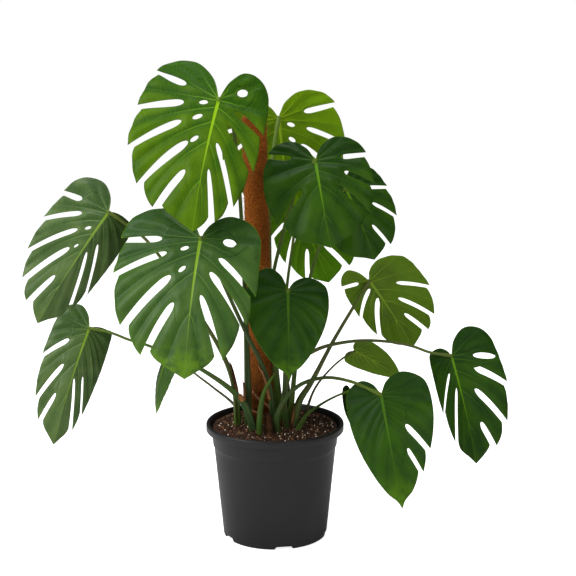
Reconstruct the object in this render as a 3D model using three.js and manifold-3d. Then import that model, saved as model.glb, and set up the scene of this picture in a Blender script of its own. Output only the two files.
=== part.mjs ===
// A potted swiss cheese plant (Monstera deliciosa) on a coir pole.
// Millimetres, +Z up. The origin is the middle of the pot's underside and the front faces -Y.
import * as THREE from "three";
import { mergeVertices } from "three/addons/utils/BufferGeometryUtils.js";
import Module from "manifold-3d";

const wasm = await Module();
wasm.setup();

// Driving dimensions of the pot
const POT_HEIGHT = 215;
const POT_WALL = 1.8;
const POT_FLOOR = 2.5;
const POT_SEGMENTS = 48;
const POT_BOTTOM_RADIUS = 96.6;
const COLLAR_FOOT = { radius: 113.1, z: 171 };
const COLLAR_STEP = { radius: 115.1, z: 175 };
const RIM_ROOT = { radius: 117.6, z: 198 };
const RIM_RADIUS = 127.5;
const RIM_DROP = 14;
const RIM_RISE = 6;
const FOOT_CHAMFER = 2;
const NOTCH_COUNT = 5;
const NOTCH_HEIGHT = 7;
const NOTCH_WIDTH = 36;
const NOTCH_DEPTH = 14;
const NOTCH_SLANT = 5;
const FIRST_NOTCH_ANGLE = 10;

// Driving dimensions of the soil
const SOIL_EDGE = 206;
const SOIL_SHOULDER = { radius: 80, z: 209.5 };
const SOIL_MIDDLE = 211;
const CLEARANCE = 0.35;

// Driving dimensions of the coir pole, which leans a little to the left
const POLE_FOOT = [-24, 25, 201];
const POLE_LEAN = -0.0226;
const POLE_TOP = 575;
const SLEEVE_RADIUS = 22;
const SLEEVE_FOOT = -160;
const SLEEVE_CAP = 8;
const SLEEVE_BEVEL = 4;
const SLEEVE_SEGMENTS = 28;
const STAKE_RADIUS = 12.7;
const STAKE_FOOT = -185;
const STAKE_SEGMENTS = 16;

// Driving dimensions of the leaves
const BLADE_THICKNESS = 1.2;
const MIDRIB_DEPTH = 2.2;
const RIDGE_FOOT = 0.05;
const ROOT_DEPTH = 24;
const PETIOLE_SIDES = 6;
const PETIOLE_STEP = 60;
const PETIOLE_FEWEST_STEPS = 5;
const PETIOLE_TAPER = 2.2;
const KNEE_SWELLING = 1.5;
const KNEE_TURN = 0.5;
const FINGER_COLUMNS = 2;
const LOBE_COLUMNS = 4;
const WHOLE_COLUMNS = 7;
const WHOLE_ROWS = [0, RIDGE_FOOT, 0.4, 0.75, 1];
const HOLE_ROWS = [0.35, 0.7];
const SLIT_ROWS = [0.12, 0.5, 1];
const FINGER_ROUNDING = 0.06;
const FINGER_HOOK = 0.015;
const SLIT_ROUND = 0.22;
const SLIT_MOUTH = 0.35;
const VEIN_BEND = 0.24;
const VEIN_BEND_BACK = 0.5;
const LOBE_DROOP = 1.6;
const EDGE_WAVE = 0.02;
const WAVE_COUNT = 3.3;
const WAVE_PHASE = { left: 0.17, right: 0.6 };
const SHARE_STEP = 0.004;
const MERGE_DISTANCE = 0.001;

// A half blade's outline from the notch at the petiole to the drip tip. The first number is the
// distance from the midrib over the half width. The second is the place along the midrib over the
// blade's length or, where negative, over the back lobe's length.
const MONSTERA = [
  [0, 0], [0.13, -0.6], [0.4, -1], [0.72, -0.86], [0.93, -0.32], [1, 0.16],
  [0.985, 0.42], [0.83, 0.68], [0.56, 0.875], [0.22, 0.972], [0, 1.04],
];
const HEART = [
  [0, 0], [0.16, -0.66], [0.46, -1], [0.78, -0.72], [0.97, -0.1], [0.99, 0.22],
  [0.86, 0.47], [0.6, 0.72], [0.32, 0.9], [0.1, 0.985], [0, 1.06],
];

// Where the side veins leave the midrib. The first number is a vein's share of the way round
// the half blade, the second its start's share of the midrib.
const VEIN_STARTS = [
  [0, 0], [0.36, 0], [0.5, 0.035], [0.62, 0.11], [0.74, 0.22], [0.84, 0.36], [0.93, 0.6], [1, 1],
];

// Gaps between side veins. Starts and ends are shares of the way from the midrib to the edge,
// widths are half widths in millimetres, and a shift moves a gap's outer end along the edge.
const slit = (start, width, mouth) => ({ slit: { start, width, mouth } });
const hole = (start, end, width) => ({ hole: { start, end, width } });
const shift = (amount) => ({ shift: amount });
const gap = (...parts) => Object.assign({}, ...parts);
const uncut = {};

// The leaves, from the top of the plant down on each side. A blade runs from its base, where the
// petiole joins, to its tip, and its upper side looks along face. Left and right are the halves
// seen from the upper side with the tip down. Folds are in degrees, away from the upper side.
const leaves = [
  {
    name: "leaf_top_left",
    base: [-94, -90, 814],
    tip: [-136, -165, 606],
    face: [-0.28, -1, 0.2],
    outline: MONSTERA,
    arch: 0.05,
    cuts: [0.33, 0.475, 0.63, 0.78, 0.88],
    left: {
      width: 143, lobe: 62, fold: -2, curl: 0.04,
      gaps: [
        gap(slit(0.52, 6, 0.5), shift(-0.01)),
        gap(hole(0.12, 0.23, 4), slit(0.42, 7, 0.7), shift(-0.015)),
        gap(hole(0.15, 0.27, 4.5), slit(0.4, 7, 0.8), shift(-0.02)),
        gap(hole(0.17, 0.29, 4.5), slit(0.32, 8, 0.6), shift(-0.035)),
        gap(slit(0.42, 7, 0.9), shift(-0.03)),
      ],
    },
    right: {
      width: 87, lobe: 54, fold: 10, curl: 0.1,
      gaps: [
        gap(hole(0.4, 0.62, 7), shift(-0.06)),
        gap(slit(0.37, 6, 0.8), shift(0.015)),
        gap(slit(0.3, 6, 0.8), shift(0.02)),
        gap(slit(0.24, 6, 0.8), shift(0.03)),
        gap(slit(0.32, 6, 0.9), shift(0.03)),
      ],
    },
    petiole: {
      radii: [7.5, 3.2],
      route: [
        [-50, -6, 203], [-52, -26, 413], [-56, -42, 544], [-60, -52, 635],
        [-66, -62, 724], [-77, -80, 792],
      ],
    },
  },
  {
    name: "leaf_middle_left",
    base: [-125, -140, 582],
    tip: [-149, -225, 366],
    face: [-0.25, -1, 0.25],
    outline: MONSTERA,
    arch: 0.05,
    cuts: [0.385, 0.54, 0.7, 0.835],
    left: {
      width: 146, lobe: 50, fold: 0, curl: 0.05,
      gaps: [
        gap(slit(0.48, 6, 0.8), shift(0.01)),
        gap(hole(0.12, 0.22, 3.5), slit(0.38, 6, 0.9), shift(-0.02)),
        gap(hole(0.15, 0.25, 4), slit(0.35, 8, 0.9), shift(0.01)),
        gap(slit(0.4, 7, 0.9)),
      ],
    },
    right: {
      width: 105, lobe: 42, fold: 8, curl: 0.1,
      gaps: [
        gap(hole(0.38, 0.6, 7), shift(-0.03)),
        gap(slit(0.35, 6, 0.8), shift(0.02)),
        gap(slit(0.27, 7, 0.9), shift(-0.02)),
        gap(slit(0.25, 7, 0.9), shift(0.01)),
      ],
    },
    petiole: {
      radii: [6.5, 3.2],
      route: [
        [-2, -26, 203], [-9, -34, 284], [-23, -45, 334], [-49, -62, 394],
        [-87, -108, 494], [-110, -130, 555],
      ],
    },
  },
  {
    name: "leaf_outer_left_upper",
    base: [-296, -20, 609],
    tip: [-411, -100, 432],
    face: [-0.15, -1, 0.15],
    outline: MONSTERA,
    arch: 0.06,
    cuts: [0.36, 0.51, 0.67, 0.8, 0.9],
    left: {
      width: 90, lobe: 42, fold: -4, curl: 0.05,
      gaps: [
        gap(slit(0.6, 6, 0.8)),
        gap(slit(0.42, 6, 0.9)),
        gap(hole(0.12, 0.22, 3.5), slit(0.34, 6, 0.9)),
        gap(hole(0.18, 0.26, 3), slit(0.34, 7, 0.9)),
        gap(slit(0.47, 6, 0.9)),
      ],
    },
    right: {
      width: 58, lobe: 9, fold: 32, curl: 0.1,
      gaps: [
        uncut,
        uncut,
        gap(slit(0.35, 5, 0.9)),
        gap(slit(0.22, 6, 0.9)),
        uncut,
      ],
    },
    petiole: {
      radii: [7, 2.7],
      route: [
        [-70, -6, 203], [-74, -5, 275], [-92, -6, 336], [-154, -12, 447],
        [-231, -14, 558], [-264, -16, 585],
      ],
    },
  },
  {
    name: "leaf_outer_left_lower",
    base: [-344, 30, 385],
    tip: [-407, -20, 184],
    face: [-0.15, -1, 0.1],
    outline: MONSTERA,
    arch: 0.06,
    cuts: [0.55, 0.74, 0.86],
    left: {
      width: 66, lobe: 36, fold: -4, curl: 0.05,
      gaps: [
        gap(slit(0.42, 6, 0.9), shift(-0.04)),
        gap(slit(0.42, 7, 0.9)),
        gap(slit(0.56, 6, 0.9)),
      ],
    },
    right: {
      width: 47, lobe: 7, fold: 28, curl: 0.1,
      gaps: [
        uncut,
        gap(slit(0.5, 4, 0.9)),
        gap(slit(0.15, 6, 0.9)),
      ],
    },
    petiole: {
      radii: [9, 2.4],
      route: [
        [-38, -42, 203], [-60, -36, 264], [-141, -12, 321], [-232, 10, 356],
        [-269, 16, 366], [-305, 24, 378],
      ],
    },
  },
  {
    name: "leaf_front_heart",
    base: [24, -95, 482],
    tip: [26, -150, 345],
    face: [0.03, -1, 0.28],
    outline: HEART,
    arch: 0.05,
    cuts: [],
    left: {
      width: 75, lobe: 42, fold: 5, curl: 0.08,
      gaps: [],
    },
    right: {
      width: 73, lobe: 24, fold: 8, curl: 0.1,
      gaps: [],
    },
    petiole: {
      radii: [6, 3],
      route: [
        [22, -30, 203], [18, -38, 257], [19, -54, 336], [21, -72, 405],
        [22, -84, 446],
      ],
    },
  },
  {
    name: "leaf_right_heart",
    base: [189, -100, 294],
    tip: [224, -150, 111],
    face: [-0.1, -1, 0.25],
    outline: HEART,
    arch: 0.05,
    cuts: [0.67, 0.79],
    left: {
      width: 66, lobe: 30, fold: 8, curl: 0.12,
      gaps: [
        uncut,
        uncut,
      ],
    },
    right: {
      width: 86, lobe: 34, fold: 4, curl: 0.08,
      gaps: [
        gap(slit(0.5, 6, 0.9)),
        gap(slit(0.62, 5, 0.9)),
      ],
    },
    petiole: {
      radii: [7.5, 2.8],
      route: [
        [6, -52, 203], [5, -56, 238], [20, -64, 276], [47, -72, 305],
        [92, -84, 321], [134, -90, 316], [160, -96, 307],
      ],
    },
  },
  {
    name: "leaf_outer_right",
    base: [328, 30, 332],
    tip: [372, -15, 145],
    face: [0.15, -1, 0.1],
    outline: MONSTERA,
    arch: 0.06,
    cuts: [0.4, 0.56, 0.75, 0.88],
    left: {
      width: 46, lobe: 18, fold: 36, curl: 0.12,
      gaps: [
        uncut,
        gap(slit(0.3, 4, 0.9), shift(0.04)),
        gap(slit(0.22, 6, 0.9), shift(0.06)),
        uncut,
      ],
    },
    right: {
      width: 88, lobe: 46, fold: -4, curl: 0.06,
      gaps: [
        gap(hole(0.45, 0.92, 6), shift(0.02)),
        gap(slit(0.4, 7, 0.9)),
        gap(slit(0.37, 7, 0.9)),
        gap(slit(0.58, 6, 0.9)),
      ],
    },
    petiole: {
      radii: [7, 2.5],
      route: [
        [18, -8, 203], [16, -8, 258], [34, -5, 320], [76, 0, 351],
        [141, 8, 365], [205, 16, 363], [252, 22, 353], [289, 27, 339],
      ],
    },
  },
  {
    name: "leaf_right_turned",
    base: [178, 100, 460],
    tip: [264, 150, 325],
    face: [0.0, 1, 0.3],
    outline: MONSTERA,
    arch: 0.05,
    cuts: [0.3, 0.57, 0.76, 0.87],
    left: {
      width: 93, lobe: 36, fold: 4, curl: 0.06,
      gaps: [
        uncut,
        gap(slit(0.45, 5, 0.9)),
        gap(slit(0.4, 5, 0.9)),
        gap(slit(0.5, 5, 0.9)),
      ],
    },
    right: {
      width: 54, lobe: 44, fold: 6, curl: 0.1,
      gaps: [
        gap(slit(0.4, 4, 0.9)),
        gap(slit(0.15, 5, 0.9)),
        gap(slit(0.12, 7, 0.9)),
        uncut,
      ],
    },
    petiole: {
      radii: [8.5, 4],
      route: [
        [36, -10, 203], [45, 3, 250], [67, 16, 284], [108, 50, 354],
        [150, 82, 418],
      ],
    },
  },
  {
    name: "leaf_top_back",
    base: [7, 100, 767],
    tip: [30, 185, 569],
    face: [-0.05, 1, 0.3],
    outline: MONSTERA,
    arch: 0.05,
    cuts: [0.38, 0.53, 0.7, 0.86],
    left: {
      width: 116, lobe: 54, fold: 5, curl: 0.06,
      gaps: [
        gap(slit(0.45, 6, 0.8), shift(-0.05)),
        gap(hole(0.12, 0.24, 5), slit(0.42, 6, 0.9)),
        gap(hole(0.14, 0.26, 5), slit(0.36, 6, 0.9)),
        gap(slit(0.4, 5, 0.9)),
      ],
    },
    right: {
      width: 112, lobe: 46, fold: 6, curl: 0.08,
      gaps: [
        gap(slit(0.5, 5, 0.9)),
        gap(slit(0.5, 5, 0.9)),
        gap(slit(0.4, 6, 0.9)),
        gap(slit(0.4, 6, 0.9)),
      ],
    },
    petiole: {
      radii: [7, 3.4],
      route: [
        [2, 54, 203], [-6, 66, 354], [-10, 74, 494], [-9, 77, 634],
        [0, 92, 728],
      ],
    },
  },
  {
    name: "leaf_top_right",
    base: [72, -50, 705],
    tip: [97, -115, 567],
    face: [-0.1, -1, 0.25],
    outline: MONSTERA,
    arch: 0.06,
    cuts: [0.38, 0.56, 0.72, 0.88],
    left: {
      width: 98, lobe: 45, fold: 2, curl: 0.06,
      gaps: [
        gap(slit(0.5, 5, 0.9), shift(-0.06)),
        uncut,
        gap(slit(0.4, 5, 0.9)),
        uncut,
      ],
    },
    right: {
      width: 95, lobe: 40, fold: 14, curl: 0.12,
      gaps: [
        gap(slit(0.5, 5, 0.9)),
        gap(slit(0.5, 5, 0.9)),
        gap(slit(0.4, 5, 0.9)),
        uncut,
      ],
    },
    petiole: {
      radii: [6.5, 3],
      route: [
        [12, 20, 203], [-2, 4, 369], [-5, -8, 474], [8, -16, 543],
        [24, -28, 605], [45, -42, 667],
      ],
    },
  },
  {
    name: "leaf_back_lower",
    base: [45, 110, 594],
    tip: [101, 165, 450],
    face: [-0.1, 1, 0.3],
    outline: MONSTERA,
    arch: 0.05,
    cuts: [0.46, 0.68, 0.86],
    left: {
      width: 95, lobe: 40, fold: 6, curl: 0.08,
      gaps: [
        gap(slit(0.5, 5, 0.9)),
        gap(slit(0.4, 5, 0.9)),
        gap(slit(0.4, 6, 0.9)),
      ],
    },
    right: {
      width: 68, lobe: 36, fold: 6, curl: 0.08,
      gaps: [
        gap(slit(0.5, 5, 0.9)),
        gap(slit(0.4, 6, 0.9)),
        gap(slit(0.4, 6, 0.9)),
      ],
    },
    petiole: {
      radii: [6, 2.6],
      route: [
        [32, 34, 203], [16, 52, 338], [22, 70, 453], [32, 86, 526],
        [37, 98, 560],
      ],
    },
  },
  {
    name: "leaf_small_right",
    base: [151, 90, 326],
    tip: [239, 120, 266],
    face: [-0.25, 1, 0.5],
    outline: HEART,
    arch: 0.05,
    cuts: [],
    left: {
      width: 38, lobe: 14, fold: 8, curl: 0.1,
      gaps: [],
    },
    right: {
      width: 28, lobe: 12, fold: 8, curl: 0.1,
      gaps: [],
    },
    petiole: {
      radii: [4, 1.8],
      route: [
        [52, -4, 203], [73, 34, 265], [108, 62, 302], [138, 82, 321],
      ],
    },
  },
  {
    name: "leaf_right_upper",
    base: [129, 30, 645],
    tip: [178, -15, 527],
    face: [0.25, -1, 0.25],
    outline: MONSTERA,
    arch: 0.06,
    cuts: [0.46, 0.66, 0.86],
    left: {
      width: 72, lobe: 34, fold: 8, curl: 0.1,
      gaps: [
        gap(slit(0.5, 4, 0.9)),
        gap(slit(0.5, 4, 0.9)),
        uncut,
      ],
    },
    right: {
      width: 80, lobe: 36, fold: 8, curl: 0.1,
      gaps: [
        gap(slit(0.5, 4, 0.9)),
        gap(slit(0.5, 4, 0.9)),
        gap(slit(0.5, 4, 0.9)),
      ],
    },
    petiole: {
      radii: [6, 2.8],
      route: [
        [28, 17, 203], [46, 17, 384], [68, 20, 496], [106, 26, 603],
      ],
    },
  },
  {
    name: "leaf_small_left",
    base: [-196, 90, 333],
    tip: [-228, 85, 207],
    face: [-0.8, -0.5, 0.3],
    outline: HEART,
    arch: 0.08,
    cuts: [],
    left: {
      width: 30, lobe: 12, fold: 10, curl: 0.15,
      gaps: [],
    },
    right: {
      width: 34, lobe: 12, fold: 10, curl: 0.15,
      gaps: [],
    },
    petiole: {
      radii: [3.6, 1.9],
      route: [
        [-60, 10, 203], [-74, 30, 234], [-120, 50, 268], [-159, 66, 295],
      ],
    },
  },
  {
    name: "leaf_small_back",
    base: [143, 70, 254],
    tip: [152, 60, 179],
    face: [-0.5, -1, 0.2],
    outline: HEART,
    arch: 0.08,
    cuts: [],
    left: {
      width: 20, lobe: 10, fold: 10, curl: 0.1,
      gaps: [],
    },
    right: {
      width: 20, lobe: 10, fold: 10, curl: 0.1,
      gaps: [],
    },
    petiole: {
      radii: [6.5, 2.0],
      route: [
        [38, -44, 203], [57, -20, 231], [83, 12, 242], [114, 44, 250],
      ],
    },
  },
];

// Other things that grow out of the soil beside the pole
const youngShoot = {
  name: "young_shoot",
  radii: [6.5, 1],
  route: [[-28, -64, 203], [-26, -63, 250], [-18, -61, 290], [0, -60, 322]],
};
const oldStem = {
  name: "old_stem",
  radii: [7.5, 6.5],
  route: [[-9, -60, 203], [-10, -58, 222], [-12, -55, 240]],
};
const upperRoot = {
  name: "aerial_root_upper",
  radii: [2.4, 1.6],
  route: [[14, -20, 203], [6, -18, 228], [-12, -12, 247], [-30, -14, 262], [-40, -18, 276]],
};
const lowerRoot = {
  name: "aerial_root_lower",
  radii: [2.4, 1.6],
  route: [[-14, -16, 203], [-16, -13, 222], [-26, -16, 232], [-40, -20, 240]],
};

const materials = {
  pot: new THREE.MeshStandardMaterial({ color: 0x26282a, roughness: 0.55, metalness: 0 }),
  soil: new THREE.MeshStandardMaterial({ color: 0x3a2a20, roughness: 1, metalness: 0 }),
  stake: new THREE.MeshStandardMaterial({ color: 0x8a6b45, roughness: 0.8, metalness: 0 }),
  coir: new THREE.MeshStandardMaterial({ color: 0x8a5a2c, roughness: 1, metalness: 0 }),
  leaf: new THREE.MeshStandardMaterial({ color: 0x3f7a2c, roughness: 0.45, metalness: 0 }),
  backLeaf: new THREE.MeshStandardMaterial({ color: 0x7da33a, roughness: 0.6, metalness: 0 }),
  shoot: new THREE.MeshStandardMaterial({ color: 0x6f9a3a, roughness: 0.5, metalness: 0 }),
  bark: new THREE.MeshStandardMaterial({ color: 0x6b4429, roughness: 0.9, metalness: 0 }),
};

const lerp = (a, b, f) => a + (b - a) * f;

function knots(table, x) {
  const next = Math.max(1, table.findIndex(([key]) => x <= key));
  const [a, va] = table[next - 1];
  const [b, vb] = table[next];
  return lerp(va, vb, (x - a) / (b - a));
}

// Solids: a closed geometry with merged vertices and its faces out, and joins and cuts of them

function closed(geometry) {
  geometry.deleteAttribute("normal");
  geometry.deleteAttribute("uv");
  const merged = mergeVertices(geometry);
  const position = merged.getAttribute("position");
  const source = Array.from(merged.index.array);
  const kept = [];
  let volume = 0;
  const corner = [new THREE.Vector3(), new THREE.Vector3(), new THREE.Vector3()];
  for (let i = 0; i < source.length; i += 3) {
    const triangle = source.slice(i, i + 3);
    if (new Set(triangle).size < 3) continue;
    triangle.forEach((vertex, k) => corner[k].fromBufferAttribute(position, vertex));
    volume += corner[0].dot(corner[1].clone().cross(corner[2]));
    kept.push(triangle);
  }
  if (volume < 0) kept.forEach((triangle) => triangle.reverse());
  merged.setIndex(kept.flat());
  return merged;
}

function solid(geometry) {
  const ready = closed(geometry);
  return new wasm.Manifold(new wasm.Mesh({
    numProp: 3,
    vertProperties: new Float32Array(ready.getAttribute("position").array),
    triVerts: new Uint32Array(ready.index.array),
  }));
}

function geometryOf(manifold) {
  const { vertProperties, triVerts } = manifold.getMesh();
  const geometry = new THREE.BufferGeometry();
  geometry.setAttribute("position", new THREE.Float32BufferAttribute(vertProperties, 3));
  geometry.setIndex(Array.from(triVerts));
  return geometry;
}

function addMesh(parent, name, geometry, material) {
  geometry.computeVertexNormals();
  const mesh = new THREE.Mesh(geometry, material);
  mesh.name = name;
  parent.add(mesh);
  return mesh;
}

function turned(profile, segments) {
  const points = profile.map(([radius, z]) => new THREE.Vector2(radius, z));
  return new THREE.LatheGeometry(points, segments).rotateX(Math.PI / 2);
}

// Pot

function innerWall(z) {
  const wall = [
    [0, POT_BOTTOM_RADIUS], [COLLAR_FOOT.z, COLLAR_FOOT.radius],
    [COLLAR_STEP.z, COLLAR_STEP.radius], [RIM_ROOT.z, RIM_ROOT.radius],
  ];
  return knots(wall, z) - POT_WALL;
}

// The rolled rim: a half round from the lip over the top to the neck, at a given inset
function rimArch(inset, steps) {
  const middle = (RIM_RADIUS + RIM_ROOT.radius - POT_WALL) / 2;
  const reach = RIM_RADIUS - middle - inset;
  const rise = RIM_RISE - inset;
  return Array.from({ length: steps + 1 }, (_, i) => {
    const angle = (Math.PI * i) / steps;
    return [middle + reach * Math.cos(angle), POT_HEIGHT - RIM_RISE + rise * Math.sin(angle)];
  });
}

function potBody() {
  const lipFoot = POT_HEIGHT - RIM_DROP;
  return turned([
    [0, 0], [POT_BOTTOM_RADIUS - FOOT_CHAMFER, 0], [POT_BOTTOM_RADIUS, FOOT_CHAMFER],
    [COLLAR_FOOT.radius, COLLAR_FOOT.z], [COLLAR_STEP.radius, COLLAR_STEP.z],
    [RIM_ROOT.radius, RIM_ROOT.z], ...rimArch(POT_WALL, 2).reverse(),
    [RIM_RADIUS - POT_WALL, lipFoot], [RIM_RADIUS, lipFoot], ...rimArch(0, 4),
    ...[RIM_ROOT.z, COLLAR_STEP.z, COLLAR_FOOT.z, POT_FLOOR].map((z) => [innerWall(z), z]),
    [0, POT_FLOOR],
  ], POT_SEGMENTS);
}

// A drain notch takes the corner of wall and floor away, with slanted sides
function notchCutter(degrees) {
  const foot = NOTCH_WIDTH / 2;
  const head = foot - NOTCH_SLANT;
  const outline = new THREE.Shape([
    new THREE.Vector2(-foot, -1), new THREE.Vector2(foot, -1),
    new THREE.Vector2(head, NOTCH_HEIGHT), new THREE.Vector2(-head, NOTCH_HEIGHT),
  ]);
  const cutter = new THREE.ExtrudeGeometry(outline, { depth: 2 * NOTCH_DEPTH, bevelEnabled: false });
  cutter.rotateX(Math.PI / 2);
  cutter.translate(0, NOTCH_DEPTH - POT_BOTTOM_RADIUS, 0);
  cutter.rotateZ(THREE.MathUtils.degToRad(degrees));
  return solid(cutter);
}

function pot() {
  let body = solid(potBody());
  for (let i = 0; i < NOTCH_COUNT; i++) {
    body = body.subtract(notchCutter(FIRST_NOTCH_ANGLE + (i * 360) / NOTCH_COUNT));
  }
  return geometryOf(body);
}

// Coir pole, in a frame of its own with its foot just under the soil's surface

function stake() {
  return turned([
    [0, STAKE_FOOT], [STAKE_RADIUS, STAKE_FOOT],
    [STAKE_RADIUS, POLE_TOP - SLEEVE_CAP], [0, POLE_TOP - SLEEVE_CAP],
  ], STAKE_SEGMENTS);
}

function sleeve() {
  const bore = STAKE_RADIUS + 2 * CLEARANCE;
  const boreTop = POLE_TOP - SLEEVE_CAP + CLEARANCE;
  return turned([
    [0, boreTop], [bore, boreTop], [bore, SLEEVE_FOOT], [SLEEVE_RADIUS, SLEEVE_FOOT],
    [SLEEVE_RADIUS, POLE_TOP - SLEEVE_BEVEL], [SLEEVE_RADIUS - SLEEVE_BEVEL, POLE_TOP],
    [0, POLE_TOP],
  ], SLEEVE_SEGMENTS);
}

function placePole(object) {
  object.position.set(...POLE_FOOT);
  object.rotation.y = POLE_LEAN;
  object.updateMatrixWorld(true);
  return object;
}

// What the pole takes out of the soil: a wide bore for its sleeve over a narrow one for its stake
function poleHole() {
  const frame = placePole(new THREE.Object3D()).matrixWorld;
  const bore = (radius, foot, segments) => {
    const profile = [[0, foot], [radius, foot], [radius, POLE_TOP], [0, POLE_TOP]];
    return solid(turned(profile, segments).applyMatrix4(frame));
  };
  const wide = bore(SLEEVE_RADIUS + CLEARANCE, SLEEVE_FOOT - CLEARANCE, SLEEVE_SEGMENTS);
  return wide.add(bore(STAKE_RADIUS + CLEARANCE, STAKE_FOOT - CLEARANCE, STAKE_SEGMENTS));
}

// Round stalks: a closed cylinder bent along a curve and tapered, with its foot in the soil
function bentStalk(route, radii, grow = 0) {
  const [first] = route;
  const buried = [first[0], first[1], first[2] - ROOT_DEPTH];
  const points = [buried, ...route].map((point) => new THREE.Vector3(...point));
  const curve = new THREE.CatmullRomCurve3(points, false, "centripetal");
  const steps = Math.max(PETIOLE_FEWEST_STEPS, Math.round(curve.getLength() / PETIOLE_STEP));
  const frames = curve.computeFrenetFrames(steps, false);
  const stalk = new THREE.CylinderGeometry(1, 1, steps, PETIOLE_SIDES, steps);
  const position = stalk.getAttribute("position");
  for (let i = 0; i < position.count; i++) {
    const ring = Math.round(position.getY(i) + steps / 2);
    const share = ring / steps;
    const radius = lerp(radii[1], radii[0], (1 - share) ** PETIOLE_TAPER) + grow;
    const place = curve.getPointAt(share);
    place.addScaledVector(frames.normals[ring], position.getX(i) * radius);
    place.addScaledVector(frames.binormals[ring], position.getZ(i) * radius);
    if (ring === 0) place.addScaledVector(frames.tangents[0], -grow);
    position.setXYZ(i, place.x, place.y, place.z);
  }
  return stalk;
}

// Half a blade, flat, where u is the distance from the midrib and v the place along it. A share q goes
// round the half from the notch at the petiole to the tip, and a share t goes out from the midrib.

class HalfBlade {
  constructor(leaf, side) {
    const { width, lobe, gaps } = leaf[side];
    this.length = leaf.length;
    const points = leaf.outline.map(([u, v]) => (
      new THREE.Vector3(u * width, v * (v > 0 ? leaf.length : lobe), 0)
    ));
    this.margin = new THREE.CatmullRomCurve3(points, false, "catmullrom");
    this.gaps = [uncut, ...leaf.cuts.map((cut, i) => gaps[i] ?? uncut), uncut];
    this.q = [0, ...leaf.cuts, 1];
    this.edgeKnots = this.q.map((q, i) => [q, q + (this.gaps[i].shift ?? 0)]);
  }

  // A side vein, which bends towards the tip on its way out
  vein(q, t) {
    const start = knots(VEIN_STARTS, q) * this.length;
    const end = this.margin.getPointAt(Math.min(1, knots(this.edgeKnots, q)));
    const bendAlong = lerp(start, end.y, end.y > start ? VEIN_BEND : VEIN_BEND_BACK);
    const u = (1 - t) * t * end.x + t * t * end.x;
    const v = (1 - t) ** 2 * start + 2 * (1 - t) * t * bendAlong + t * t * end.y;
    return new THREE.Vector2(u, v);
  }

  // The direction from vein to vein at t
  across(q, t) {
    const next = this.vein(Math.min(1, q + SHARE_STEP), t);
    return next.sub(this.vein(Math.max(0, q - SHARE_STEP), t)).normalize();
  }

  // Half the width of a gap at t, round at the inner end of a slit and at both ends of a hole
  gapWidth(index, t) {
    const cut = this.gaps[index];
    if (cut.hole && t > cut.hole.start && t < cut.hole.end) {
      const f = (t - cut.hole.start) / (cut.hole.end - cut.hole.start);
      return cut.hole.width * Math.sqrt(1 - (2 * f - 1) ** 2);
    }
    if (cut.slit && t > cut.slit.start) {
      const f = (t - cut.slit.start) / (1 - cut.slit.start);
      const round = Math.min(1, f / SLIT_ROUND);
      const mouth = lerp(1, cut.slit.mouth, THREE.MathUtils.smoothstep(f, SLIT_MOUTH, 1));
      return cut.slit.width * Math.sqrt(1 - (1 - round) ** 2) * mouth;
    }
    return 0;
  }

  // A finger between two slits is rounded at its near corner and drawn out at its far one
  reach(finger, f, t) {
    const drawn = (index, share, amount) => {
      const start = this.gaps[index].slit?.start ?? 1;
      return t > start ? amount * share ** 3 * ((t - start) / (1 - start)) ** 2 : 0;
    };
    return t + drawn(finger, 1 - f, -FINGER_ROUNDING) + drawn(finger + 1, f, FINGER_HOOK);
  }

  point(finger, f, tNear, tFar) {
    const t = lerp(tNear, tFar, f);
    const q = lerp(this.q[finger], this.q[finger + 1], f);
    const place = this.vein(q, this.reach(finger, f, t));
    const near = this.gapWidth(finger, tNear) * (1 - f);
    const far = this.gapWidth(finger + 1, tFar) * f;
    if (near > 0) place.addScaledVector(this.across(this.q[finger], tNear), near);
    if (far > 0) place.addScaledVector(this.across(this.q[finger + 1], tFar), -far);
    return { u: place.x, v: place.y, q, t };
  }

  // The shares t at which a boundary between two fingers has its rows. Where the leaf has a hole
  // anywhere, every boundary has a row at each end of one and one halfway.
  rows(index, holes) {
    if (this.q.length === 2) return WHOLE_ROWS;
    const cut = this.gaps[index];
    const holeEnd = cut.hole?.end;
    const start = cut.slit?.start ?? (holeEnd ? (holeEnd + 1) / 2 : 0.5);
    const inward = (share) => lerp(RIDGE_FOOT, start, share);
    const near = cut.hole?.start ?? inward(HOLE_ROWS[0]);
    const far = holeEnd ?? inward(HOLE_ROWS[1]);
    const inner = holes ? [near, (near + far) / 2, far] : [inward(0.5)];
    return [0, RIDGE_FOOT, ...inner, start, ...SLIT_ROWS.map((share) => lerp(start, 1, share))];
  }
}

function petioleRoute(leaf) {
  return [...leaf.petiole.route, leaf.base];
}

function bladeAxes(leaf) {
  const origin = new THREE.Vector3(...leaf.base);
  const along = new THREE.Vector3(...leaf.tip).sub(origin).normalize();
  const face = new THREE.Vector3(...leaf.face);
  face.addScaledVector(along, -face.dot(along)).normalize();
  return { origin, along, face, across: new THREE.Vector3().crossVectors(face, along) };
}

// Bend the flat half into place: arched along the midrib, folded at it, curled down, waved
function placeOnBlade(leaf, axes, side, { u, v, q, t }) {
  const { width, fold, curl } = leaf[side];
  const sign = side === "left" ? -1 : 1;
  const f = v / leaf.length;
  const arch = leaf.arch * leaf.length * (f > 0 ? 4 * f * (1 - f) : LOBE_DROOP * f);
  const turns = WAVE_COUNT * q + WAVE_PHASE[side];
  const ripple = Math.sin(Math.PI * q) * Math.sin(2 * Math.PI * turns);
  const rise = arch - curl * width * (u / width) ** 2 + EDGE_WAVE * width * t * t * ripple;
  const angle = THREE.MathUtils.degToRad(fold);
  return axes.origin.clone()
    .addScaledVector(axes.across, sign * u * Math.cos(angle))
    .addScaledVector(axes.along, v)
    .addScaledVector(axes.face, rise - u * Math.sin(angle));
}

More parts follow.
